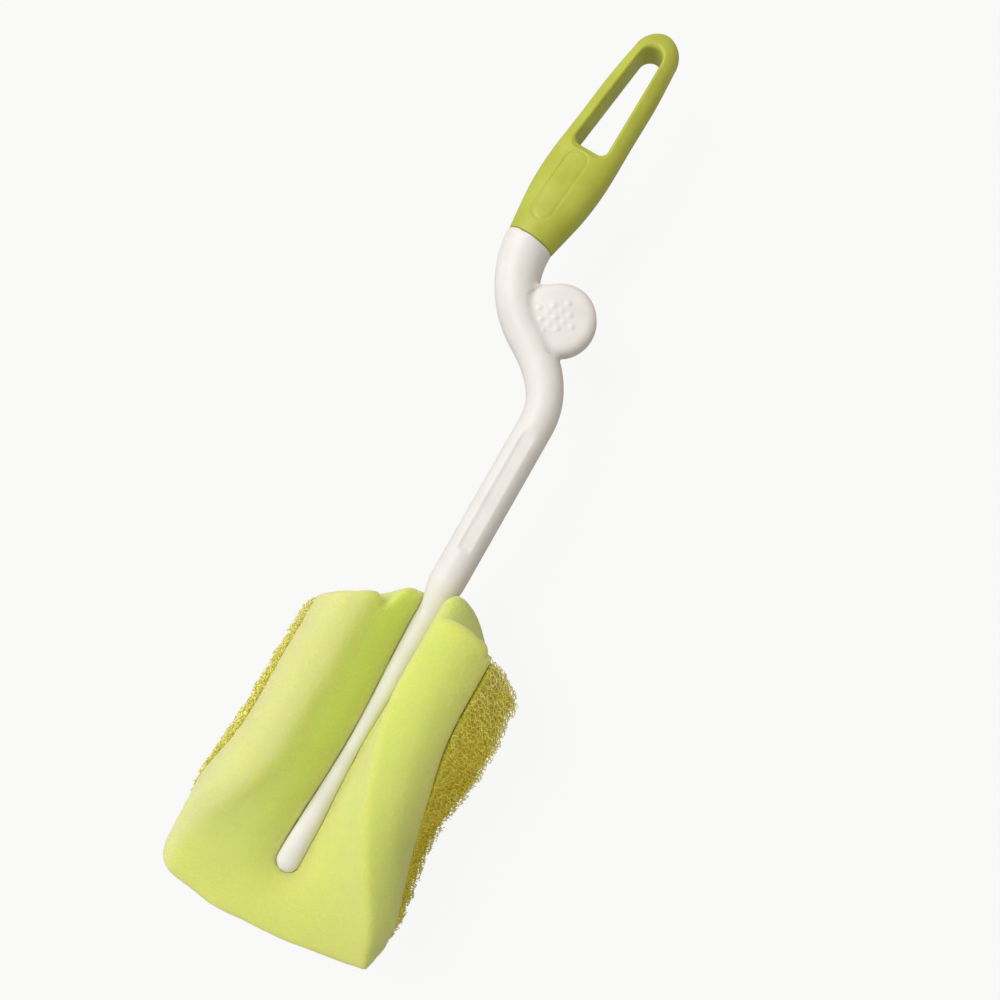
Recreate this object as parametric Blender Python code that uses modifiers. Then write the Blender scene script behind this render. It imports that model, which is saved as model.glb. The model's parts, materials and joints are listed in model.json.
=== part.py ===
"""A sponge brush for baby bottles: a cranked plastic stem, a swivelling grip and a two-layer foam head.

The brush lies on the back of its foam head. Sizes are in millimetres, and MM turns them into metres.
X runs across the brush, Y along the shaft towards the grip, and Z up from the surface it lies on.
The world's origin is on that surface, straight below the centre of the front prong's round tip.
"""

import math

import bmesh
import bpy
from mathutils import Matrix, Vector
from mathutils.geometry import interpolate_bezier

MM = 0.001
FIT = 0.3            # gap between two pieces that touch
OVERRUN = 6.0        # how far a cutter runs past what it cuts

# Foam head: a block of two bonded layers, folded forward in a V along its middle
SOFT_THICK = 19.6
SCOUR_THICK = 13.2
HEAD_HALF_WIDTH = 37.4
HEAD_LOW = 21.4      # how far the head reaches past the prong's tip, at its middle
HEAD_HIGH = 90.4     # the head's upper end at its middle
VALLEY_UP = 3.6      # the front face at its middle, above the shaft's axis
FLAT_PRESSED = 0.8   # how much of the back is pressed flat where it lies
BEND_HALF = 4.0      # half of the strip that bends, the rest stays straight
FOLD_RIGHT = math.radians(78.4)
FOLD_RIGHT_FROM, FOLD_RIGHT_TO = -23.8, 65.3
FOLD_LEFT = math.radians(56)
FOLD_LEFT_FROM, FOLD_LEFT_TO = -19.9, 29.3
DRAWN_RIGHT = 21.5   # half widths of the front face where the fold squeezes it most
DRAWN_LEFT = 23.4
DRAWN_FROM, DRAWN_TO = -22.3, 35.0
OUTER_SHORT = 9.2    # the scouring layer's edges fall back by this much for a fold of one radian
LOW_SKEW = 5.2       # the cut ends run askew: this much further up on the right than at the middle
LOW_RISE = 3.1       # the lower end rises from the middle to both sides
LOW_LEAN = 4.5       # and from the front face to the back
LOW_ROUND = 2.5      # the lower left corner is worn round
LOW_ROUND_FROM = 0.72
HIGH_SKEW = 5.2
HIGH_DROP = 1.6      # the upper end falls off from the middle to both sides
HIGH_LEAN = 0.53     # and with depth, by this much for each millimetre
HIGH_LEAN_SKEW = 0.03
SCOUR_SHORT = 3.5    # the scouring layer ends a little before the soft one
GROOVE_DEEP = 5.5    # the prong presses this groove into the soft foam
GROOVE_HALF = 5.0
GROOVE_FADE = 10.0
FOAM_EDGE = 1.2
ACROSS_CUTS, ALONG_CUTS, DEPTH_CUTS = 16, 13, 3
CENTRE_CROWDING = 0.45

# Stem: one moulding of neck, crank, thumb disc, shaft and front prong
SHAFT_R = 5.6
CRANK_LOW = 149.0    # where the shaft bends into the crank
CRANK_LENGTH = 50.0
CRANK_OFFSET = 30.4  # from the shaft's axis to the middle of the seam
CRANK_MID = (0.54, 0.472)     # the knot between the two bends, as shares of offset and length
CRANK_MID_DOWN = math.radians(33)
CRANK_HANDLES = (5.0, 14.0, 8.0, 12.0)
CRANK_STEPS = 13
CRANK_MID_R = 6.4
NECK_R = 7.9
NECK_STRAIGHT = 0.2  # share of the crank's first handle that stays straight
GRIP_LEAN = math.radians(4.5)
STEM_RES = 9

PRONG_TIP_R = 3.8
PRONG_WAIST_R = 2.3
PRONG_WAIST = 40.0
PRONG_ROOT_R = 3.8
PRONG_ROOT_BELOW = 11.0   # from the end of the full shaft to where the prong starts
PRONG_STEPS = 6
SHAFT_CLEAR = 4.6         # full shaft ends this far above the head

PANEL_LOW, PANEL_HIGH = 105.4, 147.0
PANEL_HALF_WIDTH = 2.3
PANEL_SIDE = 0.6
PANEL_DEEP = 0.8

DISC_R = 11.4
DISC_REACH = 10.4    # from the crank's middle knot to the disc's centre
DISC_TURN = math.radians(47.7)
DISC_FRONT = 4.5
DISC_BACK = 5.0
DISC_EDGE = 1.1
BUMP_ROWS = 3
BUMP_PITCH = (4.5, 4.1)
BUMP_TURN = math.radians(36)
BUMP_R = 0.95
BUMP_HIGH = 0.55

# Spindle of the stem, and the bore that snaps over it in the grip
SPINDLE_R = 4.0
BEAD_R = 4.8
SPINDLE_LENGTH = 24.0
BEAD_LENGTH = 3.0
BORE_GAP = 0.3
BORE_END_GAP = 0.8
TURNED_STEPS = 32

# Grip
GRIP_LENGTH = 77.6
GRIP_TIP = 7.6       # length of the rounded end
# Half widths and half depths, at shares of the way from the seam to the rounded end
GRIP_WIDTHS = ((0.0, NECK_R), (0.214, 10.3), (0.371, 10.8), (0.6, 9.9), (0.829, 9.0), (1.0, 7.6))
GRIP_DEPTHS = ((0.0, NECK_R), (0.214, 7.3), (0.457, 6.4), (1.0, 5.7))
GRIP_SQUARE = 0.7         # added to the ellipse's power of 2 once the neck has become flat
GRIP_SQUARE_FROM, GRIP_SQUARE_TO = 2.0, 26.0
GRIP_STEPS = 16
GRIP_SIDES = 40
GRIP_TIP_STEPS = 5
GRIP_TIP_THIN = 0.4
LOOP_LOW = 33.0
LOOP_TOP_WALL = 6.6       # from the loop's opening to the grip's far end
LOOP_LOW_HALF, LOOP_HIGH_HALF = 6.0, 3.7
LOOP_CORNER = 1.6
LOOP_EDGE = 1.7
LOOP_FACE = 5.4           # height of the grip's face beside the loop
ARC_STEPS = 6

# Clamp prong: a springy strip inside the soft foam, held by a foot in the back of the shaft
CLAMP_DOWN = 9.5
CLAMP_THICK = 2.4
CLAMP_HALF_WIDTH = 3.5
CLAMP_TIP = 12.0
CLAMP_EDGE = 0.5
FOOT_LENGTH = 8.0
FOOT_HALF_WIDTH = 2.5
FOOT_CLEAR = 1.5
FOOT_TOP_DOWN = 2.6

GRIP_BODY = GRIP_LENGTH - GRIP_TIP
HEAD_THICK = SOFT_THICK + FIT + SCOUR_THICK
AXIS_UP = HEAD_THICK - VALLEY_UP - FLAT_PRESSED
SHAFT_FOOT = HEAD_HIGH + SHAFT_CLEAR
SEAM = CRANK_LOW + CRANK_LENGTH


def smooth(value, low, high):
    """0 below low, 1 above high, and an S-shaped rise between."""
    share = min(max((value - low) / (high - low), 0.0), 1.0)
    return share * share * (3 - 2 * share)


def eased(points, value):
    """Reads a list of (place, size) points, with an S-shaped run from each to the next."""
    size = points[0][1]
    for (low, start), (high, end) in zip(points, points[1:]):
        size += (end - start) * smooth(value, low, high)
    return size


def rounded(points, value):
    """Reads a list of (place, size) points along a curve that passes smoothly through them."""
    slopes = [(b[1] - a[1]) / (b[0] - a[0]) for a, b in zip(points, points[1:])]
    ends = [slopes[0]] + [(a + b) / 2 for a, b in zip(slopes, slopes[1:])] + [slopes[-1]]
    value = min(max(value, points[0][0]), points[-1][0])
    for index, (low, high) in enumerate(zip(points, points[1:])):
        if value <= high[0]:
            break
    span = high[0] - low[0]
    t = (value - low[0]) / span
    start = low[1] * (1 + 2 * t) * (1 - t) ** 2 + ends[index] * span * t * (1 - t) ** 2
    return start + high[1] * t * t * (3 - 2 * t) + ends[index + 1] * span * t * t * (t - 1)


def linear(channel):
    """One sRGB channel, 0 to 255, as the linear value that a shader takes."""
    share = channel / 255
    return share / 12.92 if share <= 0.04045 else ((share + 0.055) / 1.055) ** 2.4


def material(name, rgb, roughness):
    made = bpy.data.materials.new(name)
    made.use_nodes = True
    shader = made.node_tree.nodes["Principled BSDF"]
    shader.inputs["Base Color"].default_value = [linear(c) for c in rgb] + [1]
    shader.inputs["Roughness"].default_value = roughness
    shader.inputs["Metallic"].default_value = 0
    return made


def new_object(name, mesh, collection, parent):
    made = bpy.data.objects.new(name, mesh)
    collection.objects.link(made)
    made.parent = parent
    return made


def from_bmesh(name, shape, collection, parent):
    bmesh.ops.recalc_face_normals(shape, faces=shape.faces)
    mesh = bpy.data.meshes.new(name)
    shape.to_mesh(mesh)
    shape.free()
    return new_object(name, mesh, collection, parent)


def hide_cutter(tool):
    tool.hide_render = True
    tool.display_type = "WIRE"
    return tool


def combine(target, tool, operation):
    step = target.modifiers.new(tool.name, "BOOLEAN")
    step.operation = operation
    step.object = tool
    step.solver = "EXACT"


def box(name, low, high, collection, parent):
    """A box between two corners, in millimetres."""
    shape = bmesh.new()
    bmesh.ops.create_cube(shape, size=1)
    low, high = Vector(low), Vector(high)
    for vert in shape.verts:
        share = vert.co + Vector((0.5, 0.5, 0.5))
        vert.co = Vector([a + (b - a) * s for a, b, s in zip(low, high, share)]) * MM
    return from_bmesh(name, shape, collection, parent)


def turned(name, profile, collection, parent):
    """A turned solid about local Y. The profile holds (radius, height) and runs from top to bottom."""
    mesh = bpy.data.meshes.new(name)
    points = [(radius * MM, height * MM, 0) for radius, height in profile]
    mesh.from_pydata(points, [(i, i + 1) for i in range(len(points) - 1)], [])
    made = new_object(name, mesh, collection, parent)
    screw = made.modifiers.new("turn", "SCREW")
    screw.axis = "Y"
    screw.steps = screw.render_steps = TURNED_STEPS
    screw.use_merge_vertices = True
    screw.merge_threshold = 0.00001
    screw.use_normal_calculate = True
    return made


def tube(name, stations, collection, parent):
    """A round tube through (x, y, radius) stations in the plane of the crank, as a closed mesh."""
    curve = bpy.data.curves.new(name, "CURVE")
    curve.dimensions = "3D"
    curve.twist_mode = "Z_UP"
    curve.bevel_depth = MM
    curve.bevel_resolution = STEM_RES
    curve.use_fill_caps = True
    spline = curve.splines.new("POLY")
    spline.points.add(len(stations) - 1)
    for point, (x, y, radius) in zip(spline.points, stations):
        point.co = (x * MM, y * MM, 0, 1)
        point.radius = radius
    drawn = new_object(name + "_line", curve, collection, None)
    bpy.context.view_layer.update()
    evaluated = drawn.evaluated_get(bpy.context.evaluated_depsgraph_get())
    mesh = bpy.data.meshes.new_from_object(evaluated)
    bpy.data.objects.remove(drawn)
    shape = bmesh.new()
    shape.from_mesh(mesh)
    bmesh.ops.remove_doubles(shape, verts=shape.verts, dist=0.00001)
    return from_bmesh(name, shape, collection, parent)


def loft(name, rings, collection, parent):
    """A closed solid through rings of points, each ring with the same number of points."""
    shape = bmesh.new()
    made = [[shape.verts.new(Vector(point) * MM) for point in ring] for ring in rings]
    count = len(made[0])
    for low, high in zip(made, made[1:]):
        for i in range(count):
            shape.faces.new((low[i], low[(i + 1) % count], high[(i + 1) % count], high[i]))
    shape.faces.new(made[0])
    shape.faces.new(made[-1])
    return from_bmesh(name, shape, collection, parent)


def crank_knots():
    """The crank's three knots and their handles, from the seam down to the shaft, in the shaft's plane."""
    lean = Vector((math.sin(GRIP_LEAN), math.cos(GRIP_LEAN), 0))
    down = Vector((0, -1, 0))
    across = Vector((math.cos(CRANK_MID_DOWN), -math.sin(CRANK_MID_DOWN), 0))
    seam = Vector((-CRANK_OFFSET, SEAM, 0))
    middle = Vector((-CRANK_OFFSET * CRANK_MID[0], CRANK_LOW + CRANK_LENGTH * CRANK_MID[1], 0))
    low = Vector((0, CRANK_LOW, 0))
    first, second, third, fourth = CRANK_HANDLES
    upper = (seam, seam - lean * first, middle - across * second, middle)
    lower = (middle, middle + across * third, low - down * fourth, low)
    return upper, lower


def crank_stations():
    """The neck and crank. A short straight start keeps the neck's end square to the grip's axis."""
    seam, start = crank_knots()[0][:2]
    stations = [(seam.x, seam.y, NECK_R)]
    straight = seam.lerp(start, NECK_STRAIGHT)
    stations.append((straight.x, straight.y, NECK_R))
    for knots, radii in zip(crank_knots(), ((NECK_R, CRANK_MID_R), (CRANK_MID_R, SHAFT_R))):
        points = interpolate_bezier(*knots, CRANK_STEPS)
        for i, point in enumerate(points[:-1]):
            if point == seam:
                continue
            share = smooth(i, 0, CRANK_STEPS - 1)
            stations.append((point.x, point.y, radii[0] + (radii[1] - radii[0]) * share))
    return stations


def prong_stations(top, grown=0.0):
    """The front prong from the full shaft down to its round tip. grown is added all round for a cutter."""
    root = SHAFT_FOOT - PRONG_ROOT_BELOW
    sizes = ((0.0, PRONG_TIP_R), (PRONG_WAIST, PRONG_WAIST_R), (root, PRONG_ROOT_R), (SHAFT_FOOT, SHAFT_R))
    places = [top]
    for high, low in ((SHAFT_FOOT, root), (root, PRONG_WAIST), (PRONG_WAIST, 0.0)):
        places += [high + (low - high) * i / PRONG_STEPS for i in range(PRONG_STEPS)]
    stations = [(0, place, eased(sizes, place) + grown) for place in places]
    tip = PRONG_TIP_R + grown
    for i in range(PRONG_STEPS):
        angle = math.radians(84) * i / (PRONG_STEPS - 1)
        stations.append((0, -tip * math.sin(angle), tip * math.cos(angle)))
    return stations


def disc_centre():
    middle = crank_knots()[1][0]
    return middle + DISC_REACH * Vector((math.cos(DISC_TURN), math.sin(DISC_TURN), 0))


def make_disc(collection, parent):
    shape = bmesh.new()
    bmesh.ops.create_cone(shape, cap_ends=True, segments=48, radius1=DISC_R * MM, radius2=DISC_R * MM,
                          depth=(DISC_FRONT + DISC_BACK) * MM)
    rim = [e for e in shape.edges if len({round(v.co.z, 6) for v in e.verts}) == 1]
    bmesh.ops.bevel(shape, geom=rim, offset=DISC_EDGE * MM, segments=3, affect="EDGES", profile=0.5)
    made = from_bmesh("thumb_disc", shape, collection, parent)
    made.location = (disc_centre() + Vector((0, 0, (DISC_FRONT - DISC_BACK) / 2))) * MM
    return hide_cutter(made)


def make_bumps(collection, parent):
    """Rows of low domes on the disc, with a smaller set in the gaps between them."""
    turn = Matrix.Rotation(BUMP_TURN, 3, "Z")
    shape = bmesh.new()
    for rows in (BUMP_ROWS, BUMP_ROWS - 1):
        half = (rows - 1) / 2
        for i in range(rows):
            for j in range(rows):
                place = turn @ Vector(((i - half) * BUMP_PITCH[0], (j - half) * BUMP_PITCH[1], 0))
                place = (disc_centre() + place + Vector((0, 0, DISC_FRONT))) * MM
                size = Matrix.Diagonal((BUMP_R * MM, BUMP_R * MM, BUMP_HIGH * MM, 1))
                bmesh.ops.create_uvsphere(shape, u_segments=12, v_segments=6, radius=1,
                                          matrix=Matrix.Translation(place) @ size)
    return hide_cutter(from_bmesh("thumb_bumps", shape, collection, parent))


def make_spindle(collection, parent):
    bead_low = SPINDLE_LENGTH - BEAD_LENGTH
    profile = ((0, SPINDLE_LENGTH), (SPINDLE_R - 0.6, SPINDLE_LENGTH), (BEAD_R, SPINDLE_LENGTH - BEAD_LENGTH / 2),
               (BEAD_R, bead_low + 0.4), (SPINDLE_R, bead_low), (SPINDLE_R, -OVERRUN), (0, -OVERRUN))
    return hide_cutter(turned("spindle", profile, collection, parent))


def make_bore(collection, parent):
    """The grip's bore: narrow over the spindle's neck, wide round its bead."""
    end = SPINDLE_LENGTH + BORE_END_GAP
    bead_low = SPINDLE_LENGTH - BEAD_LENGTH - BORE_GAP
    wide = BEAD_R + BORE_GAP
    narrow = SPINDLE_R + BORE_GAP
    profile = ((0, end), (wide, end), (wide, bead_low), (narrow, bead_low - 0.5), (narrow, -OVERRUN), (0, -OVERRUN))
    return hide_cutter(turned("grip_bore", profile, collection, parent))


def panel_outline(grown):
    """A slot with round ends, as points round it."""
    radius = PANEL_HALF_WIDTH + grown
    points = []
    for centre, start in ((PANEL_HIGH - PANEL_HALF_WIDTH, 0.0), (PANEL_LOW + PANEL_HALF_WIDTH, math.pi)):
        for i in range(ARC_STEPS + 1):
            angle = start + math.pi * i / ARC_STEPS
            points.append((PANEL_SIDE + radius * math.cos(angle), centre + radius * math.sin(angle)))
    return points


def make_panel_cutter(collection, parent):
    floor = SHAFT_R - PANEL_DEEP
    rings = [[(x, y, z) for x, y in panel_outline(grown)] for z, grown in ((floor, -0.15), (SHAFT_R + 1, 0.25))]
    return hide_cutter(loft("panel_recess", rings, collection, parent))


def make_foot_pocket(collection, parent):
    low = (-FOOT_HALF_WIDTH - FIT, foot_low() - FIT, -SHAFT_R - OVERRUN)
    high = (FOOT_HALF_WIDTH + FIT, foot_low() + FOOT_LENGTH + FIT, -FOOT_TOP_DOWN + FIT)
    return hide_cutter(box("foot_pocket", low, high, collection, parent))


def foot_low():
    return SHAFT_FOOT + FOOT_CLEAR


def make_stem(parts, cutters, line, swivel, finish):
    stations = crank_stations() + prong_stations(CRANK_LOW)
    stem = tube("stem", stations, parts, line)
    for tool in (make_disc(cutters, line), make_bumps(cutters, line), make_spindle(cutters, swivel)):
        combine(stem, tool, "UNION")
    for tool in (make_panel_cutter(cutters, line), make_foot_pocket(cutters, line)):
        combine(stem, tool, "DIFFERENCE")
    stem.data.materials.append(finish)
    return stem


def grip_section(along):
    """One ring of the grip: a circle at the seam that turns into a flattened, squarer oval."""
    half_width = rounded(GRIP_WIDTHS, along / GRIP_BODY)
    half_depth = rounded(GRIP_DEPTHS, along / GRIP_BODY)
    if along > GRIP_BODY:
        share = (along - GRIP_BODY) / GRIP_TIP
        fall = math.sqrt(max(1 - share * share, 0))
        half_width *= fall
        half_depth *= 1 - GRIP_TIP_THIN * (1 - fall)
    power = 2 / (2 + GRIP_SQUARE * smooth(along, GRIP_SQUARE_FROM, GRIP_SQUARE_TO))
    ring = []
    for i in range(GRIP_SIDES):
        angle = 2 * math.pi * i / GRIP_SIDES
        c, s = math.cos(angle), math.sin(angle)
        x = half_width * math.copysign(abs(c) ** power, c)
        z = half_depth * math.copysign(abs(s) ** power, s)
        ring.append((x, along, z))
    return ring


def loop_outline(grown, level):
    """The hanging loop's opening: round at the top, wider and square at the bottom."""
    top = GRIP_LENGTH - LOOP_TOP_WALL - LOOP_HIGH_HALF
    bottom = LOOP_LOW + LOOP_CORNER
    side = LOOP_LOW_HALF - LOOP_CORNER
    arcs = (((0, top), LOOP_HIGH_HALF, 0, math.pi), ((-side, bottom), LOOP_CORNER, math.pi, math.pi / 2),
            ((side, bottom), LOOP_CORNER, 1.5 * math.pi, math.pi / 2))
    points = []
    for (x, y), radius, start, sweep in arcs:
        for i in range(ARC_STEPS + 1):
            angle = start + sweep * i / ARC_STEPS
            reach = radius + grown
            points.append((x + reach * math.cos(angle), y + reach * math.sin(angle), level))
    return points


def make_loop_cutter(collection, parent):
    """Flares at both faces, which rounds the loop's edges."""
    levels = [(0.0, 0.0)]
    for i in range(4):
        angle = math.pi / 2 * i / 3
        levels.append((LOOP_FACE - LOOP_EDGE + LOOP_EDGE * math.sin(angle), LOOP_EDGE * (1 - math.cos(angle))))
    levels.append((LOOP_FACE + OVERRUN, LOOP_EDGE + OVERRUN / 2))
    both = [(-z, grown) for z, grown in reversed(levels[1:])] + levels
    return hide_cutter(loft("loop_opening", [loop_outline(grown, z) for z, grown in both], collection, parent))


def make_grip(parts, cutters, swivel, finish):
    places = [FIT + (GRIP_BODY - FIT) * i / GRIP_STEPS for i in range(GRIP_STEPS)]
    for i in range(GRIP_TIP_STEPS + 1):
        angle = math.radians(82) * i / GRIP_TIP_STEPS
        places.append(GRIP_BODY + GRIP_TIP * math.sin(angle))
    grip = loft("grip", [grip_section(place) for place in places], parts, swivel)
    combine(grip, make_loop_cutter(cutters, swivel), "DIFFERENCE")
    combine(grip, make_bore(cutters, swivel), "DIFFERENCE")
    grip.data.materials.append(finish)
    return grip


def make_clamp_prong(parts, cutters, line, finish):
    end = foot_low() + FOOT_LENGTH
    half = CLAMP_THICK / 2
    prong = box("clamp_prong", (-CLAMP_HALF_WIDTH, CLAMP_TIP, -CLAMP_DOWN - half),
                (CLAMP_HALF_WIDTH, end, -CLAMP_DOWN + half), parts, line)
    foot = box("clamp_foot", (-FOOT_HALF_WIDTH, foot_low(), -CLAMP_DOWN), (FOOT_HALF_WIDTH, end, -FOOT_TOP_DOWN),
               cutters, line)
    edge = prong.modifiers.new("edge", "BEVEL")
    edge.width = CLAMP_EDGE * MM
    edge.segments = 2
    combine(prong, hide_cutter(foot), "UNION")
    prong.data.materials.append(finish)
    return prong


def head_point(across, along, depth):
    """Where a point of the flat foam block comes to lie in the folded head.

    across runs from -1 to 1, along from 0 at the low end to 1, and depth in mm from the front face.
    """
    low = -HEAD_LOW + LOW_SKEW * across + LOW_RISE * across ** 2 + LOW_LEAN * (depth / HEAD_THICK) ** 2
    low += LOW_ROUND * smooth(-across, LOW_ROUND_FROM, 1)
    high = HEAD_HIGH + HIGH_SKEW * across - HIGH_DROP * across ** 2
    high -= depth * (HIGH_LEAN - HIGH_LEAN_SKEW * across)
    y = low + (high - low) * along
    right = FOLD_RIGHT * smooth(y, FOLD_RIGHT_FROM, FOLD_RIGHT_TO)
    left = FOLD_LEFT * smooth(y, FOLD_LEFT_FROM, FOLD_LEFT_TO)
    fold, drawn = (right, DRAWN_RIGHT) if across > 0 else (left, DRAWN_LEFT)
    half = HEAD_HALF_WIDTH + (drawn - HEAD_HALF_WIDTH) * smooth(y, DRAWN_FROM, DRAWN_TO)
    half -= OUTER_SHORT * fold * max(depth - SOFT_THICK, 0) / SCOUR_THICK
    u = half * across
    groove = GROOVE_DEEP * math.exp(-((u / GROOVE_HALF) ** 2)) * smooth(y, -PRONG_TIP_R - GROOVE_FADE, 0)
    deep = depth + groove * max(1 - depth / SOFT_THICK, 0)
    bent = min(max(u, -BEND_HALF), BEND_HALF)
    turn = (right + left) / (2 * BEND_HALF)
    middle = (right - left) / 2
    chord_angle = turn * bent / 2
    chord = bent * (math.sin(chord_angle) / chord_angle if abs(chord_angle) > 1e-6 else 1)
    slope = middle + turn * bent
    x = chord * math.cos(middle + chord_angle) + (u - bent) * math.cos(slope) + deep * math.sin(slope)
    z = VALLEY_UP + chord * math.sin(middle + chord_angle) + (u - bent) * math.sin(slope) - deep * math.cos(slope)
    return Vector((x, y, max(z, -AXIS_UP)))


def folded_block(name, top, bottom, end, parts, line):
    """A block of foam between two depths: a cube, sliced across and along, then folded point by point.

    end is where the block stops, as a share of the head's length.
    """
    shape = bmesh.new()
    bmesh.ops.create_cube(shape, size=2)
    for axis, cuts in enumerate((ACROSS_CUTS, ALONG_CUTS, DEPTH_CUTS)):
        for i in range(1, cuts):
            normal = [float(k == axis) for k in range(3)]
            place = [(2 * i / cuts - 1) * k for k in normal]
            whole = shape.verts[:] + shape.edges[:] + shape.faces[:]
            bmesh.ops.bisect_plane(shape, geom=whole, plane_co=place, plane_no=normal)
    for vert in shape.verts:
        across = vert.co.x * (1 - CENTRE_CROWDING) + CENTRE_CROWDING * vert.co.x ** 3
        depth = bottom + (top - bottom) * (vert.co.z + 1) / 2
        along = min((vert.co.y + 1) / 2, end)
        vert.co = head_point(across, along, depth) * MM
    bmesh.ops.triangulate(shape, faces=shape.faces[:], quad_method="SHORT_EDGE")
    return from_bmesh(name, shape, parts, line)


def soften(foam):
    edge = foam.modifiers.new("soft_edge", "BEVEL")
    edge.width = FOAM_EDGE * MM
    edge.segments = 2
    edge.limit_method = "ANGLE"
    edge.angle_limit = math.radians(50)


def make_soft_foam(parts, cutters, line, finish):
    foam = folded_block("soft_foam", 0.0, SOFT_THICK, 1.0, parts, line)
    soften(foam)
    room = tube("prong_room", prong_stations(SHAFT_FOOT + OVERRUN, FIT), cutters, line)
    half = CLAMP_THICK / 2 + FIT
    slot = box("clamp_slot", (-CLAMP_HALF_WIDTH - FIT, CLAMP_TIP - FIT, -CLAMP_DOWN - half),
               (CLAMP_HALF_WIDTH + FIT, HEAD_HIGH + OVERRUN, -CLAMP_DOWN + half), cutters, line)
    combine(foam, hide_cutter(room), "DIFFERENCE")
    combine(foam, hide_cutter(slot), "DIFFERENCE")
    foam.data.materials.append(finish)
    return foam


def make_scouring_foam(parts, line, finish):
    end = 1 - SCOUR_SHORT / (HEAD_LOW + HEAD_HIGH)
    foam = folded_block("scouring_foam", SOFT_THICK + FIT, HEAD_THICK, end, parts, line)
    soften(foam)
    foam.data.materials.append(finish)
    return foam


def empty(name, place, turn, parent, collection):
    made = new_object(name, None, collection, parent)
    made.location = Vector(place) * MM
    made.rotation_euler = (0, 0, turn)
    return made


def shade(parts):
    for part in parts.objects:
        if part.type == "MESH":
            part.data.shade_smooth()
            part.data.set_sharp_from_angle(angle=math.radians(35))


def main():
    for old in list(bpy.data.objects):
        bpy.data.objects.remove(old)
    parts = bpy.data.collections.new("bottle_sponge_brush")
    cutters = bpy.data.collections.new("cutters")
    for collection in (parts, cutters):
        bpy.context.scene.collection.children.link(collection)
    line = empty("shaft_line", (0, 0, AXIS_UP), 0, None, parts)
    swivel = empty("grip_axis", (-CRANK_OFFSET, SEAM, 0), -GRIP_LEAN, line, parts)

    white = material("white_polypropylene", (236, 232, 228), 0.35)
    lime = material("lime_polypropylene", (170, 188, 44), 0.4)
    soft = material("soft_polyurethane_foam", (200, 214, 92), 0.95)
    scour = material("scouring_polyurethane_foam", (176, 160, 52), 0.9)
    make_stem(parts, cutters, line, swivel, white)
    make_grip(parts, cutters, swivel, lime)
    make_clamp_prong(parts, cutters, line, white)
    make_soft_foam(parts, cutters, line, soft)
    make_scouring_foam(parts, line, scour)
    shade(parts)


main()
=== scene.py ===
# %% [markdown]
# A sponge brush for baby bottles. One white moulding makes the cranked stem, the thumb disc and the front
# prong. A lime grip with a hanging loop turns on the stem's spindle. The head is a block of two bonded
# foams, fine and soft in front and coarse at the back, folded in a V and held between the prong and a hidden
# strip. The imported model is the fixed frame. This script dresses it, and works in millimetres like a mould
# maker: one factor turns them into Blender's metres.

# %% Load the frame
import json
import math

import bmesh
import bpy
import numpy as np
from mathutils import Matrix, Vector
from mathutils.geometry import interpolate_bezier


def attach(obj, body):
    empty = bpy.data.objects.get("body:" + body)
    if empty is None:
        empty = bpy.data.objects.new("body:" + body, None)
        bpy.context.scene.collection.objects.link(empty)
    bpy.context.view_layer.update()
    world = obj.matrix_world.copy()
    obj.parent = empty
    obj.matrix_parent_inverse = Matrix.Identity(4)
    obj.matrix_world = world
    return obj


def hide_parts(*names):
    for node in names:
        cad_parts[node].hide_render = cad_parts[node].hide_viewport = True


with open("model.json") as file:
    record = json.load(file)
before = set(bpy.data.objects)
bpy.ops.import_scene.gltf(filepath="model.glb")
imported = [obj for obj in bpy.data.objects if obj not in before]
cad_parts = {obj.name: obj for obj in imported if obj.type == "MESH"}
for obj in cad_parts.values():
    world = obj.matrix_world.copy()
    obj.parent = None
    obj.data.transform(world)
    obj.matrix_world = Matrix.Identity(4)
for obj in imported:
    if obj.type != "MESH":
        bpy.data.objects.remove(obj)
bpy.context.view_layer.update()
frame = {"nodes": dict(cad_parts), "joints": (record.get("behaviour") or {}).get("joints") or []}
MM = 0.001
swivel = frame["joints"][0]
seam = Vector(swivel["pos_m"]) / MM
grip_axis = Vector(swivel["axis"]).normalized()
AXIS_UP = seam.z

# %% [markdown]
# The photograph was taken from above the head, with the lens close enough for the grip to look smaller than
# the head. The camera could be aimed by eye or with a Track To constraint, but its place and axes are known
# from the outline of the brush, so they are set as a matrix. The lens is given by its focal length on a 36
# mm sensor.

# %% Camera
CAMERA_AT = Vector((50.55, 110.45, 321.7))
CAMERA_RIGHT = Vector((0.861, 0.494, -0.1207))
CAMERA_BACK = Vector((0.1644, -0.0458, 0.9853)).normalized()
FOCAL_MM = 35.28
SENSOR_MM = 36


def add_object(name, data):
    made = bpy.data.objects.new(name, data)
    bpy.context.scene.collection.objects.link(made)
    return made


def aim_camera():
    """A camera with its three axes given: right, up and backwards."""
    lens = bpy.data.cameras.new("photo_camera")
    lens.sensor_width = SENSOR_MM
    lens.lens = FOCAL_MM
    lens.clip_start = 0.01
    camera = add_object("photo_camera", lens)
    up = CAMERA_BACK.cross(CAMERA_RIGHT).normalized()
    right = up.cross(CAMERA_BACK)
    turn = Matrix((right, up, CAMERA_BACK)).transposed().to_4x4()
    camera.matrix_world = Matrix.Translation(CAMERA_AT * MM) @ turn
    bpy.context.scene.camera = camera
    return camera


print("camera in m:", aim_camera().matrix_world.to_translation())

# %% [markdown]
# Small helpers come next. A colour on a screen is an sRGB hex value, while a shader wants linear light, so
# one function converts it. Another adds a node, sets what it is given and links what it is fed, which keeps
# each material to a few readable lines.


# %% Helpers for colour and nodes
def hex_to_linear(code):
    """An sRGB hex colour such as #ebe7e2 as linear red, green, blue and alpha."""
    channels = [int(code[i:i + 2], 16) / 255 for i in (1, 3, 5)]
    return [c / 12.92 if c <= 0.04045 else ((c + 0.055) / 1.055) ** 2.4 for c in channels] + [1.0]


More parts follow.
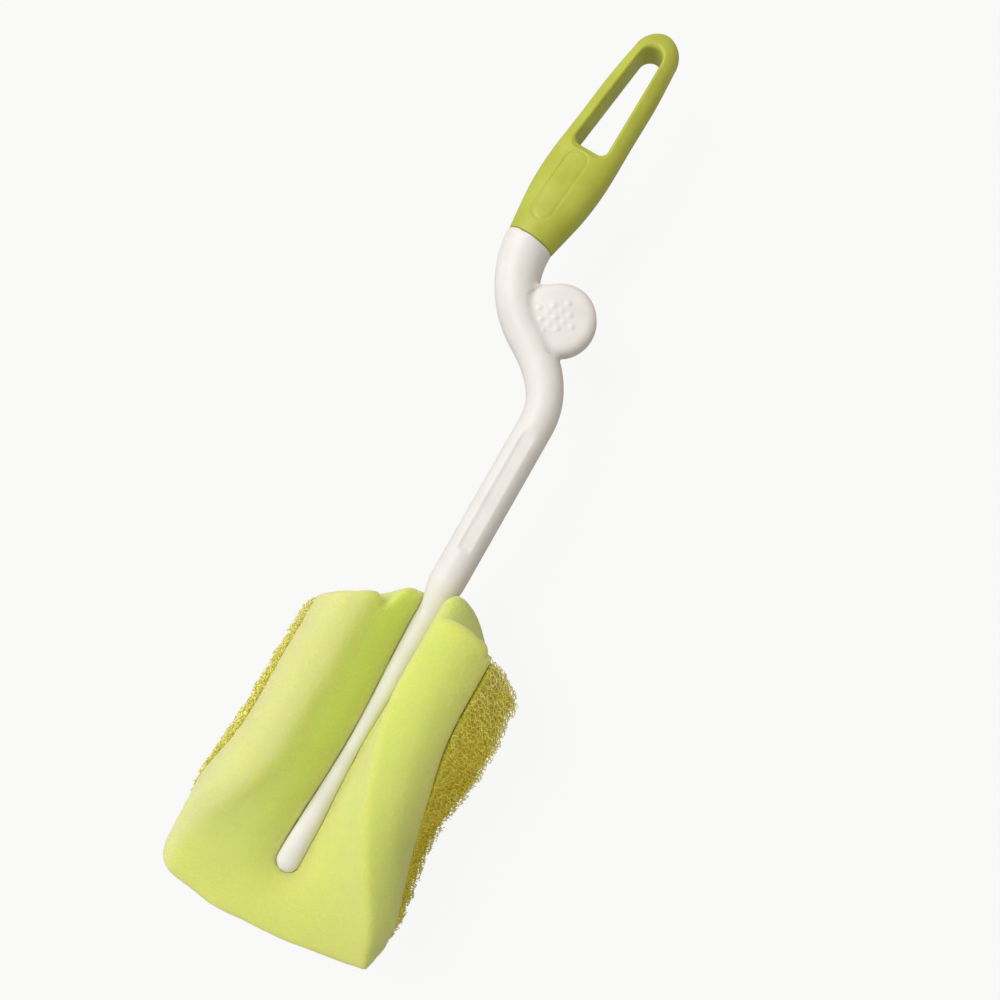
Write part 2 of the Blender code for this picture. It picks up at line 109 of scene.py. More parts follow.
def add_node(tree, kind, settings=None, **inputs):
    """Adds a node. settings are its own properties, or a ramp's stops as (place, hex colour) pairs.
    inputs are values or (node, output) links, named for their socket, or in_0, in_1 by its place."""
    node = tree.nodes.new(kind)
    for name, value in (settings or {}).items():
        if name == "stops":
            elements = node.color_ramp.elements
            while len(elements) < len(value):
                elements.new(0.5)
            for element, (place, code) in zip(elements, value):
                element.position = place
                element.color = hex_to_linear(code)
        else:
            setattr(node, name, value)
    for name, value in inputs.items():
        socket = node.inputs[int(name[3:]) if name.startswith("in_") else name.replace("_", " ")]
        if isinstance(value, tuple) and isinstance(value[0], bpy.types.Node):
            tree.links.new(value[0].outputs[value[1]], socket)
        else:
            socket.default_value = value
    return node


def empty_tree(owner):
    """The node tree of a material or a world, with nothing in it."""
    owner.use_nodes = True
    owner.node_tree.nodes.clear()
    return owner.node_tree


def new_material(name):
    """A material, its node tree and a link to the object's own coordinates."""
    made = bpy.data.materials.new(name)
    tree = empty_tree(made)
    return made, tree, (add_node(tree, "ShaderNodeTexCoord"), "Object")


print("white in linear light:", hex_to_linear("#ffffff"))

# %% [markdown]
# Most pieces are shaped by moving arrays of points, which NumPy does fast. So there is a way from arrays to
# a mesh and back. Two soft steps turn up everywhere: an S-shaped rise and a bell.


# %% Helpers for meshes
def smooth(value, low, high):
    """0 below low, 1 above high, and an S-shaped rise between. Works on numbers and arrays."""
    share = np.clip((value - low) / (high - low), 0.0, 1.0)
    return share * share * (3 - 2 * share)


def bell(value, middle, width):
    return np.exp(-(((value - middle) / width) ** 2))


def bmesh_object(name, shape):
    """An object from a bmesh, which is used up."""
    mesh = bpy.data.meshes.new(name)
    shape.to_mesh(mesh)
    shape.free()
    return add_object(name, mesh)


def read_points(made):
    """A mesh object's points in millimetres, as an array."""
    points = np.empty(len(made.data.vertices) * 3, np.float32)
    made.data.vertices.foreach_get("co", points)
    return points.reshape(-1, 3).astype(float) / MM


def write_points(made, points):
    made.data.vertices.foreach_set("co", (points * MM).astype(np.float32).ravel())
    made.data.update()


def read_normals(made):
    normals = np.empty(len(made.data.vertices) * 3, np.float32)
    made.data.vertices.foreach_get("normal", normals)
    return normals.reshape(-1, 3)


print("halfway up the S-shaped rise:", smooth(0.5, 0, 1))

# %% [markdown]
# Modifiers do the rest: a Boolean joins or cuts forms, and a voxel remesh covers them with an even skin.
# Each is applied at once, so that the next step works on real points. Every piece ends the same way: it gets
# its finish and rides on its body.


# %% Helpers for modifiers and finished pieces
def apply_modifiers(made):
    """Turns what the modifiers make into the object's own mesh."""
    seen = made.evaluated_get(bpy.context.evaluated_depsgraph_get())
    mesh = bpy.data.meshes.new_from_object(seen)
    made.modifiers.clear()
    made.data = mesh


def round_edges(made, width, segments, limit="ANGLE"):
    edge = made.modifiers.new("round_edges", "BEVEL")
    edge.limit_method = limit
    edge.width = width * MM
    edge.segments = segments


def remesh(made, voxel, rounds):
    """An even skin of small squares over a closed shape, then a few rounds of smoothing."""
    step = made.modifiers.new("even_skin", "REMESH")
    step.mode = "VOXEL"
    step.voxel_size = voxel * MM
    relax = made.modifiers.new("relax", "SMOOTH")
    relax.factor = 0.5
    relax.iterations = rounds
    apply_modifiers(made)
    made.data.shade_smooth()


def join_by_boolean(made, tool, operation):
    step = made.modifiers.new(operation, "BOOLEAN")
    step.operation = operation
    step.object = tool
    step.solver = "EXACT"
    apply_modifiers(made)
    bpy.data.objects.remove(tool)


def finish_piece(made, body, material):
    """Gives a piece its finish and lets it ride on its body."""
    made.data.materials.clear()
    made.data.materials.append(material)
    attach(made, body)
    print(made.name, len(made.data.vertices), "points", len(made.data.polygons), "faces")


# %% [markdown]
# The soft foam is polyurethane, cut from a block with a wire, so its skin is a carpet of half-open cells
# about 0.4 mm wide. It has no gloss, and light enters it and comes out again nearby, which makes thin edges
# glow and keeps shadows green. A wave of Noise would look like clay, so a Voronoi pattern gives the cells,
# drawn about twice as coarse as they are, because the real ones are finer than the picture's pixels.
# Light is also painted into its colour: painted shade makes the left wall of the valley greener, and a painted
# highlight makes the left wing's outer face paler. The mesh carries that as a point attribute: 0 for the
# painted shade, 0.5 for the foam's own colour, and 1 for the painted highlight.

# %% Finish: soft foam, wire-cut
SOFT_CELL_MM = 0.8
SOFT_PATCH_MM = 14
SOFT_PIT_MM = 0.3
# Colour ramp with painted light: painted shade, greener, at 0; the foam's own colour at 0.5; a painted
# highlight, paler, at 1.
SOFT_TONES_WITH_PAINTED_LIGHT = ((0.0, "#dfee78"), (0.5, "#d9e177"), (1.0, "#dee096"))
SOFT_LIGHT_MM = 9.0


def soft_polyurethane_foam_wire_cut():
    made, tree, where = new_material("soft_polyurethane_foam_wire_cut")
    cells = add_node(tree, "ShaderNodeTexVoronoi", {"feature": "F1"}, Vector=where,
                     Scale=1 / (SOFT_CELL_MM * MM))
    patches = add_node(tree, "ShaderNodeTexNoise", Vector=where, Scale=1 / (SOFT_PATCH_MM * MM), Detail=3.0)
    grain = add_node(tree, "ShaderNodeTexNoise", Vector=where, Scale=1 / (SOFT_CELL_MM * MM), Detail=4.0,
                     Roughness=0.7)
    weaker = add_node(tree, "ShaderNodeMath", {"operation": "MULTIPLY"}, in_0=(patches, "Fac"), in_1=0.4)
    mixed = add_node(tree, "ShaderNodeMath", {"operation": "MULTIPLY_ADD"}, in_0=(grain, "Fac"), in_1=0.6,
                     in_2=(weaker, "Value"))
    shade = add_node(tree, "ShaderNodeMapRange", Value=(mixed, "Value"), From_Min=0.3, From_Max=0.7,
                     To_Min=0.95, To_Max=1.03)
    # This attribute holds painted shade and a painted highlight, and the ramp turns it into colour.
    squeezed = add_node(tree, "ShaderNodeAttribute", {"attribute_name": "fold_tone"})
    colour = add_node(tree, "ShaderNodeValToRGB", {"stops": SOFT_TONES_WITH_PAINTED_LIGHT}, Fac=(squeezed, "Fac"))
    mottled = add_node(tree, "ShaderNodeHueSaturation", Value=(shade, "Result"), Color=(colour, "Color"))
    pits = add_node(tree, "ShaderNodeBump", Height=(cells, "Distance"), Strength=0.5,
                    Distance=SOFT_PIT_MM * MM)
    skin = add_node(tree, "ShaderNodeBsdfPrincipled", Base_Color=(mottled, "Color"), Normal=(pits, "Normal"),
                    Roughness=0.95, IOR=1.45, Specular_IOR_Level=0.2, Sheen_Weight=0.3, Sheen_Roughness=0.6,
                    Subsurface_Weight=0.85, Subsurface_Radius=(0.85, 1.25, 0.1),
                    Subsurface_Scale=SOFT_LIGHT_MM * MM)
    add_node(tree, "ShaderNodeOutputMaterial", Surface=(skin, "BSDF"))
    return made


soft_foam_finish = soft_polyurethane_foam_wire_cut()
print("finish:", soft_foam_finish.name)

# %% [markdown]
# The scouring foam is polyurethane too, but reticulated: a flash of burning gas has removed the cell walls,
# and only the struts along the cells' edges are left. They are round, harder and a little shiny, so the foam
# sparkles where light gets in, and looks deep olive where it doesn't. Light is painted into the colour as
# well:
# a painted highlight raises it a step towards the upper end and towards the left side, where thin foam is lit.
# The struts and the closed depth behind them share one recipe, and only the depth lets light through.

# %% Finish: scouring foam, reticulated
SCOUR_PATCH_MM = 1.6
# Where a painted highlight raises the colour: towards the upper end along Y, and towards the left side along
# X.
PAINTED_LIGHT_ZONES = (("Y", 50, 78), ("X", -24, -36))
SCOUR_TONE_PLACES = (0.35, 0.65, 0.95)
SCOUR_LIGHT_MM = 5.0


def scouring_polyurethane_foam_reticulated(name, colours, roughness, light_through, painted_light):
    made, tree, where = new_material(name)
    patches = add_node(tree, "ShaderNodeTexNoise", Vector=where, Scale=1 / (SCOUR_PATCH_MM * MM), Detail=3.0)
    apart = add_node(tree, "ShaderNodeSeparateXYZ", Vector=where)
    share = (patches, "Fac")
    for axis, start, end in PAINTED_LIGHT_ZONES:
        # Painted highlight: the colour rises over each zone.
        painted_light_rise = add_node(tree, "ShaderNodeMapRange", Value=(apart, axis), From_Min=start * MM,
                         From_Max=end * MM, To_Min=0.0, To_Max=painted_light)
        share = (add_node(tree, "ShaderNodeMath", {"operation": "ADD"}, in_0=share, in_1=(painted_light_rise, "Result")),
                 "Value")
    stops = tuple(zip(SCOUR_TONE_PLACES, colours))
    colour = add_node(tree, "ShaderNodeValToRGB", {"stops": stops}, Fac=share)
    strut = add_node(tree, "ShaderNodeBsdfPrincipled", Base_Color=(colour, "Color"), Roughness=roughness,
                     IOR=1.5, Specular_IOR_Level=0.3, Subsurface_Weight=light_through,
                     Subsurface_Radius=(1.0, 0.85, 0.2), Subsurface_Scale=SCOUR_LIGHT_MM * MM)
    add_node(tree, "ShaderNodeOutputMaterial", Surface=(strut, "BSDF"))
    return made


# The struts get a stronger painted highlight than the depth behind them.
strut_finish = scouring_polyurethane_foam_reticulated(
    "scouring_foam_struts_reticulated", ("#f4ea50", "#fbf67c", "#fffab4"), 0.4, 0.0, 0.3)
# The depth's colours are darker than the struts': painted shade for the foam's depths. It gets a weaker
# painted highlight.
core_finish = scouring_polyurethane_foam_reticulated(
    "scouring_foam_depth_reticulated", ("#ddd03a", "#f0e55c", "#fff596"), 0.6, 0.7, 0.1)
print("finishes:", strut_finish.name, core_finish.name)

# %% [markdown]
# Both plastics are polypropylene, injection moulded. The mould was spark eroded, which leaves a satin skin:
# a soft highlight, and a fine orange peel. White polypropylene also lets a little light in. The peel's real
# pitch is about 0.1 mm, drawn at 0.5 mm so that it shows. A faint cloudiness from the melt's flow keeps
# large faces from looking painted.

# %% Finish: polypropylene, moulded
PEEL_MM = 0.5
PEEL_DEEP_MM = 0.05
FLOW_MM = 9


def polypropylene_moulded_satin(name, dark, light, light_mm, shine):
    made, tree, where = new_material(name)
    flow = add_node(tree, "ShaderNodeTexNoise", Vector=where, Scale=1 / (FLOW_MM * MM), Detail=2.0)
    colour = add_node(tree, "ShaderNodeValToRGB", {"stops": ((0.3, dark), (0.7, light))}, Fac=(flow, "Fac"))
    peel = add_node(tree, "ShaderNodeTexNoise", Vector=where, Scale=1 / (PEEL_MM * MM), Detail=2.0)
    satin = add_node(tree, "ShaderNodeMapRange", Value=(peel, "Fac"), To_Min=0.36, To_Max=0.46)
    bump = add_node(tree, "ShaderNodeBump", Height=(peel, "Fac"), Strength=0.12, Distance=PEEL_DEEP_MM * MM)
    skin = add_node(tree, "ShaderNodeBsdfPrincipled", Base_Color=(colour, "Color"), Normal=(bump, "Normal"),
                    Roughness=(satin, "Result"), IOR=1.49, Specular_IOR_Level=shine, Subsurface_Weight=0.15,
                    Subsurface_Radius=(1.0, 0.9, 0.8), Subsurface_Scale=light_mm * MM)
    add_node(tree, "ShaderNodeOutputMaterial", Surface=(skin, "BSDF"))
    return made


white_finish = polypropylene_moulded_satin(
    "white_polypropylene_moulded_satin", "#e7e3de", "#edeae6", 1.5, 0.25)
lime_finish = polypropylene_moulded_satin(
    "lime_polypropylene_moulded_satin", "#b4ba42", "#c0c64e", 0.6, 0.4)
print("finishes:", white_finish.name, lime_finish.name)

# %% [markdown]
# The head is a flat block until it is folded. Cloth simulation would crumple it, and a lattice or Simple
# Deform bends everything by one angle, while this block opens out towards its lower end. So one function
# says where each point of the flat block goes. It bends a narrow strip down the middle and leaves the wings
# straight, and each side has its own angle, which grows from the lower end to the upper one. The sizes are
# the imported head's own. First come the block's outline and its angles.

# %% The fold: outline and angles
SOFT_THICK = 19.6
BOND_GAP = 0.3
SCOUR_THICK = 13.2
HEAD_THICK = SOFT_THICK + BOND_GAP + SCOUR_THICK
HALF_WIDTH = 37.4
HEAD_LOW, HEAD_HIGH = 21.4, 90.4
HEAD_LENGTH = HEAD_LOW + HEAD_HIGH
BEND_HALF = 4.0
FOLDS = ((math.radians(78.4), -23.8, 65.3), (math.radians(56), -19.9, 29.3))
DRAWN = (21.5, 23.4)
DRAWN_FROM, DRAWN_TO = -22.3, 35.0
OUTER_SHORT = 9.2
END_SLANT, LOW_BOW, HIGH_BOW = 5.2, 3.1, 1.6
LOW_BACK, LOW_WORN = 4.5, 2.5
HIGH_LEAN, HIGH_TWIST = 0.53, 0.03


def low_end(across, depth):
    """Where the block's lower end lies, along Y."""
    worn = LOW_WORN * smooth(-across, 0.72, 1.0)
    back = LOW_BACK * (depth / HEAD_THICK) ** 2
    return -HEAD_LOW + END_SLANT * across + LOW_BOW * across ** 2 + back + worn


def high_end(across, depth):
    lean = depth * (HIGH_LEAN - HIGH_TWIST * across)
    return HEAD_HIGH + END_SLANT * across - HIGH_BOW * across ** 2 - lean


def fold_angles(y):
    """The right and the left wing's angle at a place along the block."""
    return [angle * smooth(y, start, end) for angle, start, end in FOLDS]


def wing_widths(y, depth):
    """How far the layer at this depth reaches to the right and to the left of the fold, along its surface."""
    outer = np.maximum(depth - SOFT_THICK, 0) / SCOUR_THICK
    drawn = smooth(y, DRAWN_FROM, DRAWN_TO)
    return [HALF_WIDTH + (width - HALF_WIDTH) * drawn - OUTER_SHORT * fold * outer
            for width, fold in zip(DRAWN, fold_angles(y))]


print("angles at mid length in degrees:", [round(math.degrees(a), 1) for a in fold_angles(30.0)])

# %% [markdown]
# Now the fold itself. A point of the flat block first finds its place along the bent strip, then turns about
# the strip's arc. The prong presses a groove into the valley. The weight of the brush presses the back flat
# on the floor, so whatever would go through the floor is squeezed into the last part of a millimetre above
# it.

# %% The fold: where each point goes
VALLEY_UP = 3.6
PRONG_TIP_R = 3.8
GROOVE_FADE = 10.0
SOFT_GROOVE = (2.8, 8.0)
SCOUR_GROOVE = (5.5, 5.0)
PRESSED = 0.8


def fold_block(share, along, depth, groove, end_cut=0.0):
    """Folds points of the flat block. share runs evenly across the layer from -1 to 1, along from 0 to 1,
    and depth in mm from the front face. groove is the prong's groove as (deep, half width), and end_cut
    takes that much off both ends."""
    across = share
    for _ in range(3):
        low = low_end(across, depth) + end_cut
        high = high_end(across, depth) - end_cut
        y = low + (high - low) * along
        right, left = fold_angles(y)
        wing_right, wing_left = wing_widths(y, depth)
        arc = 2 * BEND_HALF + depth * (right + left)
        whole = wing_right + wing_left - 2 * BEND_HALF + arc
        place = (share + 1) / 2 * whole - (wing_left - BEND_HALF)
        inside = np.clip(place, 0, arc) / arc * 2 * BEND_HALF - BEND_HALF
        u = inside + np.minimum(place, 0) + np.maximum(place - arc, 0)
        across = np.where(u > 0, u / wing_right, u / wing_left)
    pressed_in = groove[0] * bell(u, 0, groove[1]) * smooth(y, -PRONG_TIP_R - GROOVE_FADE, 0)
    deep = depth + pressed_in * np.maximum(1 - depth / SOFT_THICK, 0)
    turn = (right + left) / (2 * BEND_HALF)
    middle = (right - left) / 2
    half_turn = turn * inside / 2
    chord = inside * np.sinc(half_turn / np.pi)
    slope = middle + turn * inside
    x = chord * np.cos(middle + half_turn) + (u - inside) * np.cos(slope) + deep * np.sin(slope)
    z = VALLEY_UP + chord * np.sin(middle + half_turn) + (u - inside) * np.sin(slope) - deep * np.cos(slope)
    high = z + AXIS_UP
    squeezed = PRESSED * np.exp(np.minimum(high - PRESSED, 0) / PRESSED)
    return np.stack([x, y, np.where(high < PRESSED, squeezed, high)], -1)


corners = fold_block(np.array([-1.0, 1.0]), np.array([1.0, 1.0]), np.array([0.0, 0.0]), SOFT_GROOVE)
print("upper corners of the front face in mm:", corners.round(1).tolist())

# %% [markdown]
# Both foams start as a cube of the flat block's size. A Bevel with a weight for each edge rounds the front
# edges more than the rest, because the knife drags soft foam there. Real foam is never quite even, so a
# noise of our own moves its points: Blender's Displace modifier could do it too, but this one gives the same
# value in every part of the script.

# %% Blocks, noise and softening
EDGE_MOST = 7.0
EDGE_SHARES = {("x", -1, "z", 1): 1.0, ("x", 1, "z", 1): 0.35, ("y", 1, "z", 1): 0.52, ("y", -1, "z", 1): 0.3,
               ("x", -1, "y", -1): 0.75, ("x", 1, "y", 1): 0.2, ("x", 1, "y", -1): 0.12}
EDGE_OTHER = 0.14


def flat_block(name, half_width, length, thick):
    """A block with its front face up, centred across, from y = 0 to its length, with its bevel weights."""
    shape = bmesh.new()
    bmesh.ops.create_cube(shape, size=2)
    weight = shape.edges.layers.float.new("bevel_weight_edge")
    for edge in shape.edges:
        ends = [v.co for v in edge.verts]
        edge[weight] = EDGE_OTHER
        for (first, a, second, b), share in EDGE_SHARES.items():
            if all(getattr(e, first) * a > 0 and getattr(e, second) * b > 0 for e in ends):
                edge[weight] = share
    for vert in shape.verts:
        x, y, z = vert.co
        vert.co = Vector((x * half_width, (y + 1) / 2 * length, (z - 1) / 2 * thick)) * MM
    return bmesh_object(name, shape)


def value_noise(points, pitch, seed):
    """Smooth random values from -1 to 1 at points, on a grid of the given pitch."""
    at = points / pitch
    cell = np.floor(at).astype(np.int64)
    part = at - cell
    part = part * part * (3 - 2 * part)
    total = np.zeros(len(points))
    for corner in range(8):
        offset = np.array([corner & 1, corner >> 1 & 1, corner >> 2 & 1])
        x, y, z = ((cell + offset) * (73856093, 19349663, 83492791)).T
        mixed = x ^ y ^ z ^ (seed * 2654435761)
        mixed = (mixed ^ (mixed >> 13)) * 1274126177
        value = ((mixed ^ (mixed >> 16)) & 0xFFFF) / 0x7FFF - 1
        total += value * np.prod(np.where(offset == 1, part, 1 - part), axis=1)
    return total


def soften(made, points, weight, rounds):
    """Relaxes points towards the middle of their neighbours, each by its own weight from 0 to 1."""
    edges = np.empty(len(made.data.edges) * 2, np.int32)
    made.data.edges.foreach_get("vertices", edges)
    first, second = edges.reshape(-1, 2).T
    count = np.bincount(edges, minlength=len(points))[:, None]
    for _ in range(rounds):
        total = np.stack([np.bincount(first, points[second, k], len(points))
                          + np.bincount(second, points[first, k], len(points)) for k in range(3)], -1)
        points = points + 0.6 * weight[:, None] * (total / count - points)
    return points


print("noise at the origin:", value_noise(np.zeros((1, 3)), 1.0, 1).round(3))

# %% [markdown]
# What the real soft block shows is added in the flat, where it is easy to place. Its upper end has a dip
# beside the left wing's corner, a low hump beside the prong, two nicks at the right wing's corner, and it
# sinks towards that corner. The painted light that the finish reads is written here too: painted shade on the
# valley's left wall and a painted highlight on the left wing's outer face, because only the flat block knows
# where they will lie after the fold.

# %% Soft foam: its upper end, taper and tone
DIP_DEEP, DIP_AT, DIP_WIDE = 5.5, -0.6, 0.08
HUMP_HIGH, HUMP_AT, HUMP_WIDE = 0.6, -0.35, 0.15
FRONT_FADE = 9.0
NICKS = ((1.4, 17.5, 0.75), (0.6, 13.0, 0.8))
NICK_WIDE = 1.3
SINK, SWELL = 6.7, 4.5
LEFT_TAPER = 4.5
# How strong the painted highlight on the left wing's outer face is.
PAINTED_HIGHLIGHT_FACE = 0.8


def upper_end_change(share, depth, flank):
    """How many millimetres the upper end gives way, below 0 where it stands out."""
    front = bell(depth, 0, FRONT_FADE)
    dip = DIP_DEEP * bell(share, DIP_AT, DIP_WIDE) * front
    nick = sum(size * bell(depth, at, NICK_WIDE) * smooth(share, start, 1.0) for size, at, start in NICKS)
    sink = SINK * (1 - flank) * smooth(share, 0.5, 1.0)
    swell = SWELL * np.sin(np.pi * flank) ** 0.6 * smooth(share, 0.1, 0.4) * (1 - smooth(share, 0.5, 0.95))
    return dip + nick + sink - swell - HUMP_HIGH * bell(share, HUMP_AT, HUMP_WIDE) * front


def write_painted_light_tone(made, share, along):
    # A painted highlight on the left wing's outer face, and painted shade on the valley's left wall.
    painted_light = PAINTED_HIGHLIGHT_FACE * smooth(-share, 0.74, 0.94)
    squeezed = smooth(-share, -0.05, 0.1) * (1 - smooth(-share, 0.45, 0.8)) * smooth(along, 0.1, 0.4)
    tone = made.data.attributes.new("fold_tone", "FLOAT", "POINT")
    tone.data.foreach_set("value", (0.5 + 0.5 * painted_light - 0.5 * squeezed).astype(np.float32))


def taper(share, along):
    return LEFT_TAPER * np.clip(-share, 0, 1) ** 2 * smooth(along, 0.0, 0.22)


print("dip, hump, sink and swell in mm:", DIP_DEEP, HUMP_HIGH, SINK, SWELL)

# %% [markdown]
# After folding, the skin gets what only the bent block has: soft edges where the foam is pulled, sides that
# bulge a little between their corners, a skin that isn't quite flat, and a valley that lies close against
# the prong. Foam is soft, so it follows the prong's round section from below and from both sides.

# %% Soft foam: skin and contact with the prong
SOFTEN_ROUNDS = 90
SIDE_CROWN, LEFT_CROWN = 3.4, 0.6
SKIN_WAVES = ((0.18, 11.0, 1), (0.08, 3.0, 2), (0.06, 1.2, 3))
HUG = 1.2
HUG_TO = 76.0
CLEARANCE = 0.12
PRONG_ROOT = 95
PRONG_STEPS = ((-1.5, 0, 40), (1.5, 40, 84), (1.8, 84, PRONG_ROOT))


def prong_radius(y):
    """The front prong's radius along Y: round tip, waist, root and full shaft."""
    body = sum((step * smooth(y, start, end) for step, start, end in PRONG_STEPS), PRONG_TIP_R)
    tip = np.sqrt(np.maximum(PRONG_TIP_R ** 2 - np.minimum(y, 0) ** 2, 0))
    return np.where(y < 0, tip, body)


def soft_edges(share, along, depth):
    """Where the folded foam is relaxed: the left wing's front, and the right wing's upper corner."""
    left = smooth(-share, 0.35, 0.7) * (1 - smooth(depth, 11, 16)) * (1 - 0.8 * smooth(along, 0.9, 0.98))
    return left + 0.7 * smooth(share, 0.45, 0.75) * (1 - smooth(depth, 8, 14)) * smooth(along, 0.84, 0.96)


def side_bulge(share, along, flank):
    crown = np.where(share > 0, SIDE_CROWN, LEFT_CROWN) * np.sin(np.pi * flank)
    return crown * smooth(np.abs(share), 0.93, 1.0) * smooth(along, 0, 0.15)


def hug_prong(points):
    """Draws the foam beside the prong against it, and presses the foam in its way down under it."""
    room = prong_radius(np.minimum(points[:, 1], HUG_TO)) + CLEARANCE
    beyond = np.abs(points[:, 0]) - room
    along_prong = points[:, 1] > -PRONG_TIP_R
    hugged = (beyond > 0) & (beyond < HUG) & along_prong & (points[:, 2] > AXIS_UP - room)
    points[:, 0] = np.where(hugged, np.sign(points[:, 0]) * (room + beyond ** 2 / HUG), points[:, 0])
    wall = -np.sqrt(np.maximum(room ** 2 - points[:, 0] ** 2, 0))
    under = (np.abs(points[:, 0]) < room) & along_prong
    points[:, 2] = np.where(under, np.minimum(points[:, 2], AXIS_UP + wall), points[:, 2])
    return points


print("prong radius at 0, 40 and 95 mm:", prong_radius(np.array([0.0, 40.0, 95.0])))

# %% [markdown]
# Now the soft foam is made: block, bevel, even skin, fold, softening, bulge and contact. The voxel remesh
# gives it a skin fine enough to be folded and to take the small dents.

# %% Soft foam
SOFT_VOXEL = 0.62


def make_soft_foam():
    made = flat_block("soft_foam_folded", HALF_WIDTH, HEAD_LENGTH, SOFT_THICK)
    round_edges(made, EDGE_MOST, 8, "WEIGHT")
    remesh(made, SOFT_VOXEL, 2)
    flat = read_points(made)
    share, along, depth = flat[:, 0] / HALF_WIDTH, flat[:, 1] / HEAD_LENGTH, -flat[:, 2]
    flank = np.clip(depth / SOFT_THICK, 0, 1)
    along = along - upper_end_change(share, depth, flank) / HEAD_LENGTH * smooth(along, 0.8, 1.0)
    # Writes the painted shade and the painted highlight that the finish reads.
    write_painted_light_tone(made, share, along)
    depth = np.clip(depth, 0, SOFT_THICK)
    folded = fold_block(share, along, depth + taper(share, along) * (1 - flank), SOFT_GROOVE)
    folded = soften(made, folded, soft_edges(share, along, depth), SOFTEN_ROUNDS)
    write_points(made, folded)
    grain = sum(size * value_noise(folded, pitch, seed) for size, pitch, seed in SKIN_WAVES)
    folded = folded + read_normals(made) * (side_bulge(share, along, flank) + grain)[:, None]
    write_points(made, hug_prong(folded))
    made.data.shade_smooth()
    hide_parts("soft_foam")
    finish_piece(made, "brush", soft_foam_finish)


make_soft_foam()

# %% [markdown]
# The scouring foam is a net of struts. Scattered particles or a displaced surface wouldn't show its open
# cells, and a Wireframe modifier needs cells to start from. A foam's cells pack like the fourteen-sided
# bodies of Kelvin's foam, whose corners follow a rule: on a grid of quarter cells, one coordinate is a
# multiple of four, one is two more than that, and one is odd. Exactly four struts meet at each corner.


# %% Scouring foam: corners of the cells
def kelvin_corners(size):
    """Grid points that are corners of the cells, and for each the four steps to its neighbours."""
    axes = [np.arange(n) for n in size]
    grid = np.stack(np.meshgrid(*axes, indexing="ij"), -1).reshape(-1, 3)
    kind = grid % 4
    odd = kind % 2 == 1
    keep = (odd.sum(1) == 1) & ((kind == 0).sum(1) == 1) & ((kind == 2).sum(1) == 1)
    grid, kind, odd = grid[keep], kind[keep], odd[keep]
    rows = np.arange(len(grid))
    odd_axis, zero_axis, two_axis = np.argmax(odd, 1), np.argmax(kind == 0, 1), np.argmax(kind == 2, 1)
    steps = np.zeros((len(grid), 4, 3), int)
    for index, (move, other) in enumerate(((1, 1), (1, -1), (-1, 1), (-1, -1))):
        steps[rows, index, odd_axis] = move
        becomes = (grid[rows, odd_axis] + move) % 4
        partner = np.where(becomes == 2, two_axis, zero_axis)
        steps[rows, index, partner] = other
    return grid, steps


print("corners in one cell's block of the grid:", len(kelvin_corners([4, 4, 4])[0]))

# %% [markdown]
# The layer that the net fills is the flat block's back, with rounded and slightly ragged edges. Only its
# outer millimetres are seen, so only they get struts. At the left side and the upper right corner the
# photograph looks deeper into the foam, so the net is thicker there.

# %% Scouring foam: the layer
SCOUR_WIDTH = 88.0
SCOUR_END_CUT = 1.2
SCOUR_SWELL = 3.2
SCOUR_BELLY = 2.0
SCOUR_ROUND = 2.0
RAGGED, RAGGED_PITCH = 0.9, 2.6
FRINGE_LEFT = 1.2
FRONT_OPEN = 10
SHELL_BACK, SHELL_SIDE = 2.0, 3.0
OPEN_LEFT, OPEN_CORNER = 3.6, 1.2


def scouring_point(flat):
    """A point of the flat scouring layer, in mm, folded. Its three values are across, along and depth."""
    share = flat[:, 0] / (SCOUR_WIDTH / 2)
    along = flat[:, 1] / HEAD_LENGTH
    back = flat[:, 2] / SCOUR_THICK
    swell = SCOUR_SWELL * smooth(share, 0.3, 1.0) * bell(along, 0.76, 0.27) * back
    along = along + SCOUR_BELLY * np.sin(np.pi * np.clip(back, 0, 1)) / HEAD_LENGTH * smooth(along, 0.85, 1.0)
    return fold_block(share, along, SOFT_THICK + BOND_GAP + flat[:, 2] + swell, SCOUR_GROOVE, SCOUR_END_CUT)


def box_distance(flat):
    """Distance outside the rounded layer, below 0 inside. Its bonded face is left open."""
    middle = np.array([-FRINGE_LEFT / 2, HEAD_LENGTH / 2, SCOUR_THICK / 2 - FRONT_OPEN])
    half = np.array([(SCOUR_WIDTH + FRINGE_LEFT) / 2, HEAD_LENGTH / 2, SCOUR_THICK / 2 + FRONT_OPEN])
    off = np.abs(flat - middle) - (half - SCOUR_ROUND)
    ragged = RAGGED * value_noise(flat, RAGGED_PITCH, 21)
    return np.linalg.norm(np.maximum(off, 0), axis=1) + np.minimum(off.max(1), 0) - SCOUR_ROUND + ragged


def outside(flat):
    """How far a point of the flat layer lies outside it, below 0 inside."""
    return np.maximum(box_distance(flat), -flat[:, 2])


def see_through(flat):
    """How many millimetres deeper the eye gets in, at the left side and at the upper right corner."""
    share, along = flat[:, 0] / (SCOUR_WIDTH / 2), flat[:, 1] / HEAD_LENGTH
    left = OPEN_LEFT * smooth(-share, 0.75, 1.0)
    return left + OPEN_CORNER * smooth(share, 0.55, 0.95) * smooth(along, 0.7, 0.95)


def worth_showing(flat):
    """Points near a face that can be seen. The bonded face can't."""
    deeper = see_through(flat)
    near_side = np.abs(flat[:, 0]) > SCOUR_WIDTH / 2 - SHELL_SIDE - deeper
    return -box_distance(flat) < np.where(near_side, SHELL_SIDE, SHELL_BACK) + deeper


print("layer in mm:", SCOUR_WIDTH, "by", round(HEAD_LENGTH, 1), "by", SCOUR_THICK)

# %% [markdown]
# A perfect grid would look woven. So the cells' grid is turned, its corners are shaken, and slow waves run
# through it. The real foam has cells of about 1 mm and struts of about 0.15 mm. They are drawn twice as
# coarse, so that the picture shows them as the photograph does.

# %% Scouring foam: the shaken grid
CELL_MM = 2.3
GRID_TURN = 0.5
SHAKEN = 0.62
GRID_MARGIN = 4
WAVE_MM, WAVE_PITCH = 1.1, 7.0


